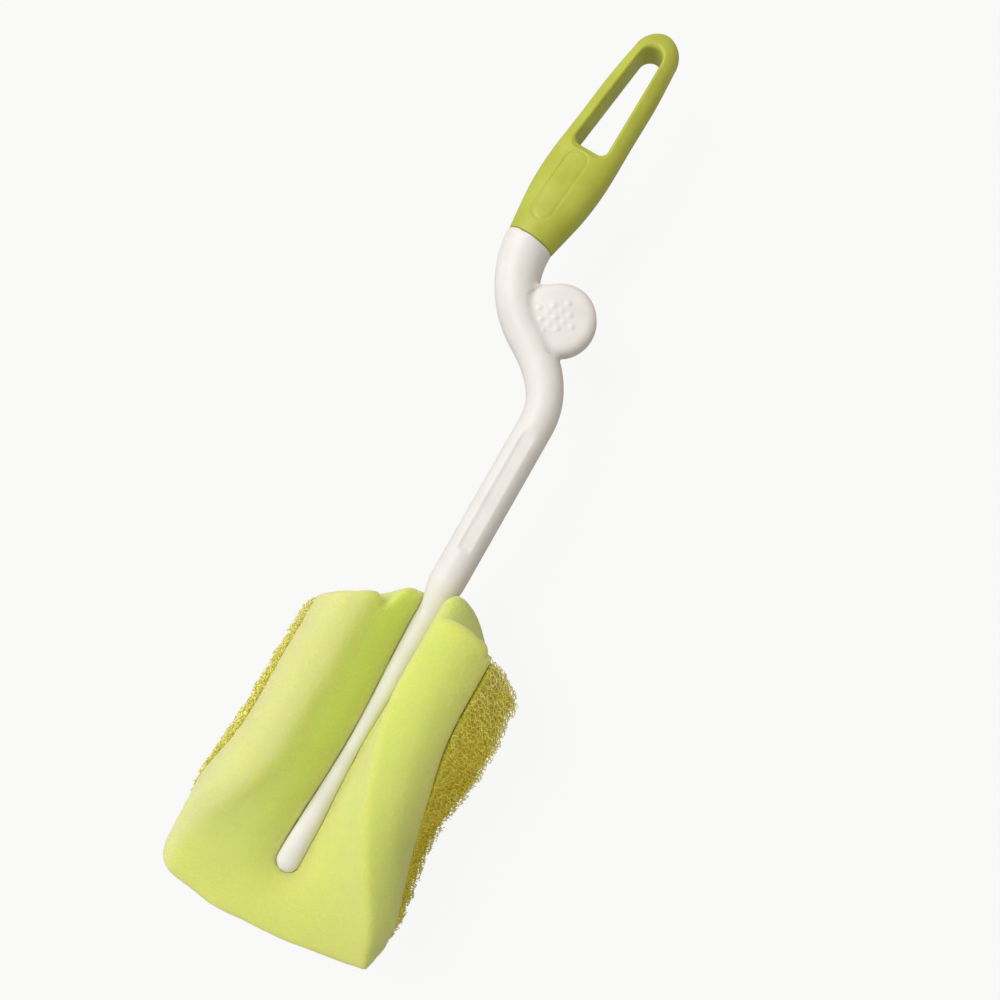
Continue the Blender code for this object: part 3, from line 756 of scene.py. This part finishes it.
def shaken_corners(rng):
    """The grid's corners near the flat layer, in mm, and the numbers of each corner's four neighbours."""
    pitch = CELL_MM / 4
    span = np.array([SCOUR_WIDTH, HEAD_LENGTH, SCOUR_THICK])
    turn = np.array(Matrix.Rotation(GRID_TURN, 3, Vector((1, 2, 3))))
    grid, steps = kelvin_corners([int(np.linalg.norm(span) / pitch)] * 3)
    centre = (grid.max(0) + 1) / 2
    number_at = -np.ones(grid.max(0) + 3, int)
    shaken = rng.uniform(-SHAKEN, SHAKEN, grid.shape)
    turned = ((grid + shaken - centre) * pitch) @ turn.T
    near = (np.abs(turned) < span / 2 + GRID_MARGIN).all(1)
    grid, steps, turned = grid[near], steps[near], turned[near]
    number_at[tuple(grid.T)] = np.arange(len(grid))
    beside = grid[:, None, :] + steps
    neighbours = number_at[beside[..., 0], beside[..., 1], beside[..., 2]]
    placed = turned + np.array([0, HEAD_LENGTH / 2, SCOUR_THICK / 2])
    wave = np.stack([value_noise(placed, WAVE_PITCH, seed) for seed in (11, 12, 13)], -1)
    return placed + WAVE_MM * wave, neighbours


print("cell in mm:", CELL_MM)

# %% [markdown]
# Each corner becomes a tiny four-sided body, and each strut a three-sided bar between two of their faces,
# which costs six triangles. Where a strut leaves the layer it ends in a point, like a cut strut, and these
# short stubs make the outline fuzzy. Where it goes on into the depth, its body is closed.

# %% Scouring foam: struts
STRUT_R = 0.18
SIDE_RINGS = np.array([[1, 2, 3], [0, 3, 2], [0, 1, 3], [0, 2, 1]])
BAR_SIDES = ((0, 1), (1, 2), (2, 0))


def corner_bodies(world, neighbours, kept):
    """The points of the tiny bodies, and the rings of their four sides, each turned outwards."""
    directions = world[neighbours[kept]] - world[kept][:, None, :]
    directions /= np.maximum(np.linalg.norm(directions, axis=2, keepdims=True), 1e-6)
    corners = world[kept][:, None, :] - directions * STRUT_R
    right_handed = np.linalg.det(corners[:, 1:] - corners[:, :1]) > 0
    first = np.arange(len(kept))[:, None] * 4
    sides = [first + np.where(right_handed[:, None], ring[None, :], ring[None, ::-1]) for ring in SIDE_RINGS]
    return corners.reshape(-1, 3), np.stack(sides)


def least_twisted(points, near_ring, far_ring):
    """Each far ring, turned so that its points lie nearest to those of the near ring."""
    turned = np.stack([np.roll(far_ring, shift, axis=1) for shift in range(3)])
    cost = np.linalg.norm(points[near_ring][None] - points[turned], axis=3).sum(2)
    return turned[cost.argmin(0), np.arange(len(near_ring))]


def net_of_struts():
    """The points and faces of the whole net."""
    rng = np.random.default_rng(7)
    flat, neighbours = shaken_corners(rng)
    beyond = outside(flat) >= 0
    kept = np.flatnonzero(~beyond & worth_showing(flat) & (neighbours >= 0).all(1))
    number = -np.ones(len(flat), int)
    number[kept] = np.arange(len(kept))
    points, sides = corner_bodies(scouring_point(flat), neighbours, kept)
    faces, tips = [], [points]
    for k, own in enumerate(sides):
        far = neighbours[kept, k]
        back = np.argmax(neighbours[far] == kept[:, None], axis=1)
        joined = np.flatnonzero(number[far] > np.arange(len(kept)))
        near_ring = own[joined]
        far_ring = least_twisted(points, near_ring, sides[back[joined], number[far][joined]][:, ::-1])
        faces += [np.stack([near_ring[:, i], near_ring[:, j], far_ring[:, j], far_ring[:, i]], 1)
                  for i, j in BAR_SIDES]
        alone = np.flatnonzero(number[far] < 0)
        faces.append(own[alone[~beyond[far[alone]]]])
        stub = alone[beyond[far[alone]]]
        here, there = flat[kept[stub]], flat[far[stub]]
        inner, outer = outside(here), outside(there)
        loose = rng.uniform(0.0, 0.6, len(stub))
        part = np.clip(-inner / np.maximum(outer - inner, 1e-6) + loose, 0.15, 1.0)[:, None]
        tip = sum(len(t) for t in tips) + np.arange(len(stub))
        tips.append(scouring_point(here * (1 - part) + there * part))
        faces += [np.stack([own[stub][:, i], own[stub][:, j], tip], 1) for i, j in BAR_SIDES]
    return np.concatenate(tips), [row for block in faces for row in block.tolist()]


net_points, net_faces = net_of_struts()
print("net:", len(net_points), "points", len(net_faces), "faces")

# %% [markdown]
# The net is cut across into three pieces of equal size, because the kept export thins any piece of over
# 200,000 triangles, and a thinned net tears. The struts are too thin for smooth shading to help, so their
# faces stay flat.

# %% Scouring foam: the net in three pieces
NET_PARTS = 3


def make_struts():
    middles = np.array([net_points[face[0]][1] for face in net_faces])
    cuts = np.quantile(middles, np.linspace(0, 1, NET_PARTS + 1)[1:-1])
    part_of = np.searchsorted(cuts, middles)
    for part in range(NET_PARTS):
        own = [face for face, at in zip(net_faces, part_of) if at == part]
        used = np.unique(np.concatenate(own))
        renumber = np.zeros(len(net_points), int)
        renumber[used] = np.arange(len(used))
        mesh = bpy.data.meshes.new(f"scouring_foam_struts_{part + 1}")
        mesh.from_pydata((net_points[used] * MM).tolist(), [], [renumber[face].tolist() for face in own])
        mesh.update()
        mesh.shade_flat()
        finish_piece(add_object(mesh.name, mesh), "brush", strut_finish)


make_struts()

# %% [markdown]
# Behind the outer struts the foam closes to the eye. Filling it with struts would cost millions of faces
# that no one sees, so a lumpy body stands 1.4 to 1.9 mm behind the net's skin, in a darker colour, painted
# shade for the depths of the foam, and deeper where the eye gets further in. Glue closes the cells at the
# bonded face, so there the body comes out to the side, which also shuts the seam between the two foams.

# %% Scouring foam: the closed depth
CORE_BACK, CORE_SIDE = 1.4, 1.9
CORE_VOXEL = 0.9
GLUED_OUT = 1.5
LUMP_HIGH, LUMP_PITCH = 0.5, 1.6


def make_core():
    half = SCOUR_WIDTH / 2 - CORE_SIDE
    made = flat_block("scouring_foam_depth", half, HEAD_LENGTH - 2 * CORE_SIDE, SCOUR_THICK - CORE_BACK)
    round_edges(made, 1.0, 3)
    remesh(made, CORE_VOXEL, 1)
    flat = read_points(made)
    flat[:, 1] += CORE_SIDE
    flat[:, 2] *= -1
    glued = 1 - smooth(flat[:, 2], 0.6, 2.8)
    deeper = see_through(flat) * (1 - glued)
    flat[:, 0] -= np.sign(flat[:, 0]) * deeper * smooth(np.abs(flat[:, 0]) / half, 0.5, 1.0)
    flat[:, 1] -= 0.8 * deeper * smooth(flat[:, 1] / HEAD_LENGTH, 0.5, 0.95)
    flat[:, 0] += np.sign(flat[:, 0]) * GLUED_OUT * glued * smooth(np.abs(flat[:, 0]) / half, 0.92, 1.0)
    along = flat[:, 1] / HEAD_LENGTH
    flat[:, 1] += GLUED_OUT * glued * (smooth(along, 0.93, 0.98) - smooth(-along, -0.07, -0.02))
    flat[:, 2] -= 0.4 * deeper * smooth(flat[:, 2], 4.0, SCOUR_THICK)
    folded = scouring_point(flat)
    lumps = LUMP_HIGH * value_noise(flat, LUMP_PITCH, 5) * smooth(flat[:, 2], 0.5, 2.5)
    write_points(made, folded)
    write_points(made, folded + read_normals(made) * lumps[:, None])
    made.data.shade_smooth()
    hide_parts("scouring_foam")
    finish_piece(made, "brush", core_finish)


make_core()

# %% [markdown]
# The stem is one moulding. Its neck, crank, shaft and prong are one round tube along a line in the plane of
# the crank, so its rings are lofted along that line: two Bezier curves for the crank and a straight part. A
# curve object with a bevel and a radius at each point would do it too, but rings of our own let the first
# one lie exactly in the plane of the grip's seam.

# %% Stem: middle line and tube
SHAFT_R, NECK_R = 5.6, 7.9
CRANK_LOW = 149.0
CRANK_LENGTH = seam.y - CRANK_LOW
CRANK_OFFSET = -seam.x
CRANK_MID_R = 6.4
CRANK_SLOPE = math.radians(33)
CRANK_KNOT = (0.54, 0.472)
CRANK_HANDLES = (5.0, 14.0, 8.0, 12.0)
CRANK_STEPS = 30
TUBE_SIDES = 72
SHAFT_RINGS, PRONG_RINGS = 28, 80


def lofted(name, rings):
    """A closed solid through rings of equally many points in millimetres."""
    shape = bmesh.new()
    rows = [[shape.verts.new([v * MM for v in point]) for point in ring] for ring in rings]
    for low, high in zip(rows, rows[1:]):
        for a, b, c, d in zip(low, low[1:] + low[:1], high[1:] + high[:1], high):
            shape.faces.new((a, b, c, d))
    for cap in (rows[0], rows[-1]):
        shape.faces.new(cap)
    bmesh.ops.recalc_face_normals(shape, faces=shape.faces)
    return bmesh_object(name, shape)


def tube_through(name, line):
    """A closed tube through (place, radius) pairs, along a line in the plane of the crank."""
    rings = []
    for i, (point, radius) in enumerate(line):
        before, after = line[max(i - 1, 0)][0], line[min(i + 1, len(line) - 1)][0]
        ahead = (after - before).normalized() if i else -Vector((grip_axis.x, grip_axis.y, 0))
        side = Vector((-ahead.y, ahead.x, 0))
        angles = [2 * math.pi * k / TUBE_SIDES for k in range(TUBE_SIDES)]
        rings.append([tuple(point + radius * (side * math.cos(a) + Vector((0, 0, 1)) * math.sin(a)))
                      for a in angles])
    return lofted(name, rings)


def crank_line():
    """The crank's middle line from the seam to the shaft, with its radius, and the knot between its bends."""
    top = Vector((seam.x, seam.y, 0))
    lean = Vector((grip_axis.x, grip_axis.y, 0))
    across = Vector((math.cos(CRANK_SLOPE), -math.sin(CRANK_SLOPE), 0))
    middle = Vector((-CRANK_OFFSET * CRANK_KNOT[0], CRANK_LOW + CRANK_LENGTH * CRANK_KNOT[1], 0))
    low = Vector((0, CRANK_LOW, 0))
    a, b, c, d = CRANK_HANDLES
    upper = (top, top - lean * a, middle - across * b, middle)
    lower = (middle, middle + across * c, low + Vector((0, d, 0)), low)
    line = []
    for knots, (first, last) in ((upper, (NECK_R, CRANK_MID_R)), (lower, (CRANK_MID_R, SHAFT_R))):
        points = interpolate_bezier(*knots, CRANK_STEPS)
        for i, point in enumerate(points[:-1]):
            radius = first + (last - first) * float(smooth(i, 0, CRANK_STEPS - 1))
            line.append((Vector(point), radius))
    return line, middle


def dome_angles(steps):
    """Angles from a round end's edge almost to its pole."""
    return np.radians(np.linspace(8, 88, steps))


def stem_line(crank):
    """The crank's line, then the straight shaft, the prong and its round tip."""
    places = np.concatenate([np.linspace(CRANK_LOW, PRONG_ROOT + 1, SHAFT_RINGS),
                             np.linspace(PRONG_ROOT, 0, PRONG_RINGS)])
    straight = [(Vector((0, float(y), 0)), float(prong_radius(y))) for y in places]
    tip = [(Vector((0, -PRONG_TIP_R * math.sin(a), 0)), PRONG_TIP_R * math.cos(a))
           for a in dome_angles(9)]
    return crank + straight + tip


crank, knot = crank_line()
print("crank offset in mm:", round(CRANK_OFFSET, 1), "knot:", knot)

# %% [markdown]
# The thumb disc is a bevelled cylinder beside the crank, with a flat web that fills the corner between its
# far side and the neck. The spindle for the grip is a turned piece: a tube through (radius, place) pairs,
# with the bead that the grip snaps over.

# %% Stem: disc, web and spindle
DISC_R = 11.4
DISC_FRONT, DISC_BACK = 4.5, 5.0
DISC_AWAY, DISC_ANGLE = 10.4, math.radians(47.7)
DISC_SHIFT = Vector((-0.4, 0.8, 0))
DISC_RIM = 2.6
WEB_FAR, WEB_ASIDE = Vector((-0.485, 0.875, 0)), Vector((-0.867, -0.498, 0))
WEB_IN, WEB_WIDE, WEB_LOWER, WEB_EDGE = 0.15, 8.5, 0.8, 1.6
SPINDLE = ((0.02, 24.0), (3.4, 24.0), (4.8, 22.5), (4.8, 21.4), (4.0, 21.0), (4.0, -6.0), (0.02, -6.0))

disc_centre = knot + DISC_AWAY * Vector((math.cos(DISC_ANGLE), math.sin(DISC_ANGLE), 0)) + DISC_SHIFT


def move_points(made, matrix):
    made.data.transform(matrix)
    made.data.update()


def on_grip_axis():
    """From the grip's own frame, with the seam at 0 and Y along its axis, to the row frame."""
    turn = Vector((0, 1, 0)).rotation_difference(grip_axis).to_matrix().to_4x4()
    return Matrix.Translation(seam * MM) @ turn


def turned_piece(name, profile):
    """A round solid about Y from (radius, place) pairs, both in mm."""
    return tube_through(name, [(Vector((0, place, 0)), max(radius, 0.02)) for radius, place in profile])


def thumb_disc():
    shape = bmesh.new()
    bmesh.ops.create_cone(shape, cap_ends=True, segments=96, radius1=DISC_R * MM, radius2=DISC_R * MM,
                          depth=(DISC_FRONT + DISC_BACK) * MM)
    rim = [e for e in shape.edges if len({round(v.co.z, 6) for v in e.verts}) == 1]
    bmesh.ops.bevel(shape, geom=rim, offset=DISC_RIM * MM, segments=8, affect="EDGES", profile=0.5)
    disc = bmesh_object("thumb_disc", shape)
    middle = disc_centre + Vector((0, 0, (DISC_FRONT - DISC_BACK) / 2))
    move_points(disc, Matrix.Translation(middle * MM))
    return disc


def disc_web():
    far, aside = WEB_FAR * (DISC_R - WEB_IN), WEB_ASIDE * WEB_WIDE
    outline = [disc_centre, disc_centre + far, disc_centre + far + aside, disc_centre + aside]
    levels = (AXIS_UP + DISC_FRONT - WEB_LOWER, AXIS_UP - DISC_BACK + WEB_LOWER)
    web = lofted("disc_web", [[(p.x, p.y, z) for p in outline] for z in levels])
    round_edges(web, WEB_EDGE, 5)
    return web


print("disc centre in mm:", disc_centre)

# %% [markdown]
# A mould has fillets wherever two forms meet, and a Boolean union leaves a sharp line there. So the forms
# are joined by a Boolean, covered with an even voxel skin and relaxed a little, which rolls a small radius
# into each inner corner. Near the disc, only the points beside an inner edge are relaxed further.

# %% Stem: one moulding
STEM_VOXEL = 0.4
INNER_EDGE = -0.12
FILLET_GROWS, FILLET_ROUNDS = 4, 30


def relax_joints(stem):
    """Rolls a wider fillet where the disc meets the tube, by relaxing only the points near that line."""
    shape = bmesh.new()
    shape.from_mesh(stem.data)
    reach = (DISC_R + 5.0) * MM
    near = set()
    for vert in shape.verts:
        beside = math.hypot(vert.co.x - disc_centre.x * MM, vert.co.y - disc_centre.y * MM) < reach
        if beside and any(edge.calc_face_angle_signed(0.0) < INNER_EDGE for edge in vert.link_edges):
            near.add(vert)
    for _ in range(FILLET_GROWS):
        near |= {edge.other_vert(vert) for vert in near for edge in vert.link_edges}
    for _ in range(FILLET_ROUNDS):
        bmesh.ops.smooth_vert(shape, verts=list(near), factor=0.5, use_axis_x=True, use_axis_y=True,
                              use_axis_z=True)
    shape.to_mesh(stem.data)
    shape.free()
    print("points relaxed at the disc's joints:", len(near))


def make_stem():
    stem = tube_through("stem_moulding", stem_line(crank))
    disc = thumb_disc()
    spindle = turned_piece("spindle", SPINDLE)
    for made in (stem, disc):
        move_points(made, Matrix.Translation((0, 0, AXIS_UP * MM)))
    move_points(spindle, on_grip_axis())
    for tool in (disc, disc_web(), spindle):
        join_by_boolean(stem, tool, "UNION")
    remesh(stem, STEM_VOXEL, 4)
    relax_joints(stem)
    return stem


stem = make_stem()

# %% [markdown]
# The finger bumps and the shallow panel on the shaft are pressed into that fine skin by moving its points.
# The bumps stand in a grid of nine with four lower ones between them, and the disc's face is a very low dome
# that falls towards its rim. The panel's sides are soft, as the mould's spark erosion leaves them.

# %% Stem: bumps, dome and panel
BUMP_SHIFT = Vector((-0.8, -0.4, 0))
BUMP_PITCH = (4.5, 3.7)
BUMP_TURN = math.radians(36)
BUMP_R = 1.2
BUMP_GRIDS = ((3, 0.45), (2, 0.225))
DISC_DOME = 0.7
PANEL_LOW, PANEL_HIGH, PANEL_SIDE, PANEL_HALF, PANEL_DEEP = 105.4, 147.0, 0.6, 2.3, 0.65


def bump_heights(off):
    """How far the finger bumps stand out, at places given from the middle of the bumps."""
    c, s = math.cos(-BUMP_TURN), math.sin(-BUMP_TURN)
    own = np.stack([off[:, 0] * c - off[:, 1] * s, off[:, 0] * s + off[:, 1] * c], -1)
    rise = np.zeros(len(off))
    for rows, high in BUMP_GRIDS:
        places = np.arange(rows) - (rows - 1) / 2
        for spot in [np.array([i, j]) * BUMP_PITCH for i in places for j in places]:
            away = np.linalg.norm(own - spot, axis=1) / BUMP_R
            rise = np.maximum(rise, high * np.cos(np.minimum(away, 1) * math.pi / 2) ** 1.5)
    return rise


def press_disc(points):
    """Adds the bumps to the disc's face, and lowers the face and its rim towards the edge."""
    face = AXIS_UP + DISC_FRONT
    from_centre = np.hypot(points[:, 0] - disc_centre.x, points[:, 1] - disc_centre.y)
    off = points[:, :2] - np.array([disc_centre.x + BUMP_SHIFT.x, disc_centre.y + BUMP_SHIFT.y])
    on_face = (points[:, 2] > face - 0.6) & (points[:, 2] < face + 0.3) & (from_centre < DISC_R - 1.5)
    on_disc = smooth(points[:, 2], face - 4.0, face) * (1 - smooth(points[:, 2], face, face + 1.6))
    on_disc *= from_centre < DISC_R + 0.5
    dome = DISC_DOME * np.minimum(np.hypot(off[:, 0], off[:, 1]) / DISC_R, 1) ** 2
    points[:, 2] += np.where(on_face, bump_heights(off), 0) - dome * on_disc


def press_panel(points):
    within = 1 - smooth(np.abs(points[:, 0] - PANEL_SIDE), PANEL_HALF - 0.9, PANEL_HALF + 0.6)
    within *= smooth(points[:, 1], PANEL_LOW - 0.4, PANEL_LOW + 0.6)
    within *= 1 - smooth(points[:, 1], PANEL_HIGH - 4.0, PANEL_HIGH + 1.0)
    lowered = np.minimum(points[:, 2], AXIS_UP + SHAFT_R - PANEL_DEEP)
    front = points[:, 2] > AXIS_UP + 2
    points[:, 2] = np.where(front, points[:, 2] + (lowered - points[:, 2]) * within, points[:, 2])


stem_points = read_points(stem)
press_disc(stem_points)
press_panel(stem_points)
write_points(stem, stem_points)
stem.data.shade_smooth()
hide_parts("stem")
finish_piece(stem, "brush", white_finish)

# %% [markdown]
# The grip is a flattened oval that grows out of the round seam. Its rings are lofted one by one, because no
# primitive goes from a circle to a squared oval. Its half widths and depths are given at shares of its
# length, and a smooth curve is drawn through them.

# %% Grip: body
GRIP_LENGTH = 77.6
GRIP_TIP = 7.6
GRIP_BODY = GRIP_LENGTH - GRIP_TIP
GRIP_WIDTHS = ((0.0, NECK_R), (0.214, 10.3), (0.371, 10.8), (0.6, 9.9), (0.829, 9.0), (1.0, 7.6))
GRIP_DEPTHS = ((0.0, NECK_R), (0.214, 7.3), (0.457, 6.4), (1.0, 5.7))
GRIP_SIDES = 96
GRIP_SQUARED = 0.4
TIP_FALL = 0.7


def through_points(points, value):
    """A smooth curve through (place, size) points, read at one place."""
    slopes = [(b[1] - a[1]) / (b[0] - a[0]) for a, b in zip(points, points[1:])]
    ends = [slopes[0]] + [(a + b) / 2 for a, b in zip(slopes, slopes[1:])] + [slopes[-1]]
    value = min(max(value, points[0][0]), points[-1][0])
    for index, (low, high) in enumerate(zip(points, points[1:])):
        if value <= high[0]:
            break
    span = high[0] - low[0]
    t = (value - low[0]) / span
    start = low[1] * (1 + 2 * t) * (1 - t) ** 2 + ends[index] * span * t * (1 - t) ** 2
    return start + high[1] * t * t * (3 - 2 * t) + ends[index + 1] * span * t * t * (t - 1)


def grip_ring(along):
    half_width = through_points(GRIP_WIDTHS, along / GRIP_BODY)
    half_depth = through_points(GRIP_DEPTHS, along / GRIP_BODY)
    if along > GRIP_BODY:
        share = (along - GRIP_BODY) / GRIP_TIP
        fall = math.sqrt(max(1 - share * share, 0))
        half_width *= fall
        half_depth *= 1 - TIP_FALL * (1 - fall)
    power = 2 / (2 + GRIP_SQUARED * smooth(along, 2.0, 26.0))
    ring = []
    for k in range(GRIP_SIDES):
        angle = 2 * math.pi * k / GRIP_SIDES
        c, s = math.cos(angle), math.sin(angle)
        ring.append((half_width * math.copysign(abs(c) ** power, c), along,
                     half_depth * math.copysign(abs(s) ** power, s)))
    return ring


def grip_body():
    places = list(np.linspace(0.15, GRIP_BODY, 60))
    places += [GRIP_BODY + GRIP_TIP * math.sin(a) for a in dome_angles(12)]
    return lofted("grip_moulding", [grip_ring(float(place)) for place in places])


print("grip half width at mid length in mm:", round(through_points(GRIP_WIDTHS, 0.5), 2))

# %% [markdown]
# The hanging loop is cut with a tool that flares at both faces, which rounds the loop's edges. A Bevel after
# the cut would need clean edges, and a Boolean doesn't leave them. The bore for the spindle is cut too, with
# the chamber that its bead snaps into.

# %% Grip: hanging loop and bore
LOOP_LOW, LOOP_TOP_WALL = 33.0, 6.6
LOOP_LOW_HALF, LOOP_HIGH_HALF, LOOP_CORNER, LOOP_EDGE, LOOP_FACE = 5.6, 3.7, 2.2, 1.4, 5.4
ARC_STEPS, FLARE_STEPS = 12, 8
BORE = ((0.02, 24.8), (5.1, 24.8), (5.1, 20.7), (4.3, 20.2), (4.3, -6.0), (0.02, -6.0))


def loop_ring(grown, level):
    top = GRIP_LENGTH - LOOP_TOP_WALL - LOOP_HIGH_HALF
    bottom = LOOP_LOW + LOOP_CORNER
    side = LOOP_LOW_HALF - LOOP_CORNER
    arcs = (((0, top), LOOP_HIGH_HALF, 0, math.pi), ((-side, bottom), LOOP_CORNER, math.pi, math.pi / 2),
            ((side, bottom), LOOP_CORNER, 1.5 * math.pi, math.pi / 2))
    ring = []
    for (x, y), radius, start, sweep in arcs:
        for i in range(ARC_STEPS + 1):
            angle = start + sweep * i / ARC_STEPS
            reach = radius + grown
            ring.append((x + reach * math.cos(angle), y + reach * math.sin(angle), level))
    return ring


def loop_tool():
    levels = [(0.0, 0.0)]
    for i in range(FLARE_STEPS + 1):
        angle = math.pi / 2 * i / FLARE_STEPS
        level = LOOP_FACE - LOOP_EDGE + LOOP_EDGE * math.sin(angle)
        levels.append((level, LOOP_EDGE * (1 - math.cos(angle))))
    levels.append((LOOP_FACE + 6.0, LOOP_EDGE + 3.0))
    both = [(-z, grown) for z, grown in reversed(levels[1:])] + levels
    return lofted("loop_tool", [loop_ring(grown, z) for z, grown in both])


print("loop length in mm:", round(GRIP_LENGTH - LOOP_TOP_WALL - LOOP_LOW, 1))

# %% [markdown]
# The same fine skin as the stem's then takes a plain engraved outline on the front plate, which stays bare
# inside. The groove is shallower on its right side, as the plate is worn there.

# %% Grip
GRIP_VOXEL = 0.32
PLATE_LOW, PLATE_HIGH, PLATE_HALF, PLATE_SIDE = 5.6, 30.5, 3.4, -0.6
PLATE_LINE, PLATE_DEEP, PLATE_WORN = 0.42, 0.32, 0.6


def make_grip():
    grip = grip_body()
    join_by_boolean(grip, loop_tool(), "DIFFERENCE")
    join_by_boolean(grip, turned_piece("bore", BORE), "DIFFERENCE")
    remesh(grip, GRIP_VOXEL, 4)
    points = read_points(grip)
    middle = np.clip(points[:, 1], PLATE_LOW + PLATE_HALF, PLATE_HIGH - PLATE_HALF)
    reach = np.hypot(points[:, 0] - PLATE_SIDE, points[:, 1] - middle)
    fade = 1 - PLATE_WORN * smooth(points[:, 0], PLATE_SIDE - 2.0, PLATE_SIDE + 2.5)
    points[:, 2] -= np.where(points[:, 2] > 3.0, PLATE_DEEP * bell(reach, PLATE_HALF, PLATE_LINE) * fade, 0)
    write_points(grip, points)
    move_points(grip, on_grip_axis())
    grip.data.shade_smooth()
    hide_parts("grip")
    finish_piece(grip, "grip", lime_finish)


make_grip()

# %% [markdown]
# The strip that holds the foam from inside has the right shape in the imported model, but its edges are sharp,
# and a moulded strip's aren't. A Bevel on the solid itself isn't possible, because the frame's meshes stay as
# they are. The imported mesh is left as it is and hidden, and a copy of it is welded, its flat faces are made
# whole again, and the copy is bevelled.

# %% Clamp strip
STRIP_EDGE_MM = 0.35


def make_clamp_strip():
    shape = bmesh.new()
    shape.from_mesh(frame["nodes"]["clamp_prong"].data)
    bmesh.ops.remove_doubles(shape, verts=shape.verts, dist=0.01 * MM)
    bmesh.ops.dissolve_limit(shape, angle_limit=math.radians(2), verts=shape.verts, edges=shape.edges)
    strip = bmesh_object("clamp_strip", shape)
    round_edges(strip, STRIP_EDGE_MM, 3)
    apply_modifiers(strip)
    strip.data.shade_smooth()
    strip.data.set_sharp_from_angle(angle=math.radians(40))
    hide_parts("clamp_prong")
    finish_piece(strip, "brush", white_finish)


make_clamp_strip()

# %% [markdown]
# A product picture on white. The floor is mid-grey paper in all ways but one: to camera rays it glows almost
# white, and a little of that glow is left to glossy rays. So the background is white, the brush's soft
# shadow still shows, and no white light is thrown up at the brush. Brighter lamps would have bleached the
# brush too.

# %% Floor
FLOOR_SIZE = 6.0
FLOOR_GLOW = 0.93
GLOSS_SEES = 0.15
FIBRE_MM = 0.9


def white_paper_floor():
    made, tree, where = new_material("white_paper_floor")
    fibres = add_node(tree, "ShaderNodeTexNoise", Vector=where, Scale=1 / (FIBRE_MM * MM), Detail=2.0)
    colour = add_node(tree, "ShaderNodeValToRGB", {"stops": ((0.0, "#a8a8a6"), (1.0, "#aeaeac"))},
                      Fac=(fibres, "Fac"))
    paper = add_node(tree, "ShaderNodeBsdfPrincipled", Base_Color=(colour, "Color"), Roughness=0.9)
    ray = add_node(tree, "ShaderNodeLightPath")
    seen = add_node(tree, "ShaderNodeMath", {"operation": "MULTIPLY_ADD"}, in_0=(ray, "Is Glossy Ray"),
                    in_1=GLOSS_SEES, in_2=(ray, "Is Camera Ray"))
    share = add_node(tree, "ShaderNodeMath", {"operation": "MULTIPLY"}, in_0=(seen, "Value"), in_1=FLOOR_GLOW)
    glow = add_node(tree, "ShaderNodeEmission", Color=hex_to_linear("#fefefd"), Strength=1.0)
    mixed = add_node(tree, "ShaderNodeMixShader", Fac=(share, "Value"), in_1=(paper, "BSDF"),
                     in_2=(glow, "Emission"))
    add_node(tree, "ShaderNodeOutputMaterial", Surface=(mixed, "Shader"))
    return made


def add_floor():
    shape = bmesh.new()
    bmesh.ops.create_grid(shape, x_segments=2, y_segments=2, size=FLOOR_SIZE / 2)
    floor = bmesh_object("floor", shape)
    floor.data.materials.append(white_paper_floor())
    return floor


print("floor:", add_floor().dimensions)

# %% [markdown]
# One large lamp from the upper left models the forms, a weak one above softens it, and the world does the
# rest: a warm room for the brush, and for the camera the same white as the floor, so that no horizon shows.

# %% Lamps and world
BRUSH_MIDDLE = (0, 0.11, 0.02)
LAMPS = (("key_upper_left", (-0.68, 0.22, 1.05), 0.7, 10.7, "#f6f9ff"),
         ("fill_above", (0.1, -0.1, 1.2), 1.0, 0.5, "#ffffff"))
ROOM_COLOUR, ROOM_STRENGTH = "#fff7ec", 0.5
BACKGROUND = "#fafaf9"


def add_lamp(name, place, size, watts, colour):
    """A square soft lamp at a place in metres, turned to the brush."""
    light = bpy.data.lights.new(name, "AREA")
    light.shape = "SQUARE"
    light.size = size
    light.energy = watts
    light.color = hex_to_linear(colour)[:3]
    lamp = add_object(name, light)
    lamp.location = place
    lamp.rotation_euler = (Vector(BRUSH_MIDDLE) - Vector(place)).to_track_quat("-Z", "Y").to_euler()


def light_room():
    world = bpy.data.worlds.new("soft_room")
    tree = empty_tree(world)
    ray = add_node(tree, "ShaderNodeLightPath")
    room = add_node(tree, "ShaderNodeBackground", Color=hex_to_linear(ROOM_COLOUR), Strength=ROOM_STRENGTH)
    white = add_node(tree, "ShaderNodeBackground", Color=hex_to_linear(BACKGROUND), Strength=1.0)
    seen = add_node(tree, "ShaderNodeMixShader", Fac=(ray, "Is Camera Ray"), in_1=(room, "Background"),
                    in_2=(white, "Background"))
    add_node(tree, "ShaderNodeOutputWorld", Surface=(seen, "Shader"))
    bpy.context.scene.world = world


for lamp_values in LAMPS:
    add_lamp(*lamp_values)
light_room()
bpy.context.scene.view_settings.view_transform = "Standard"
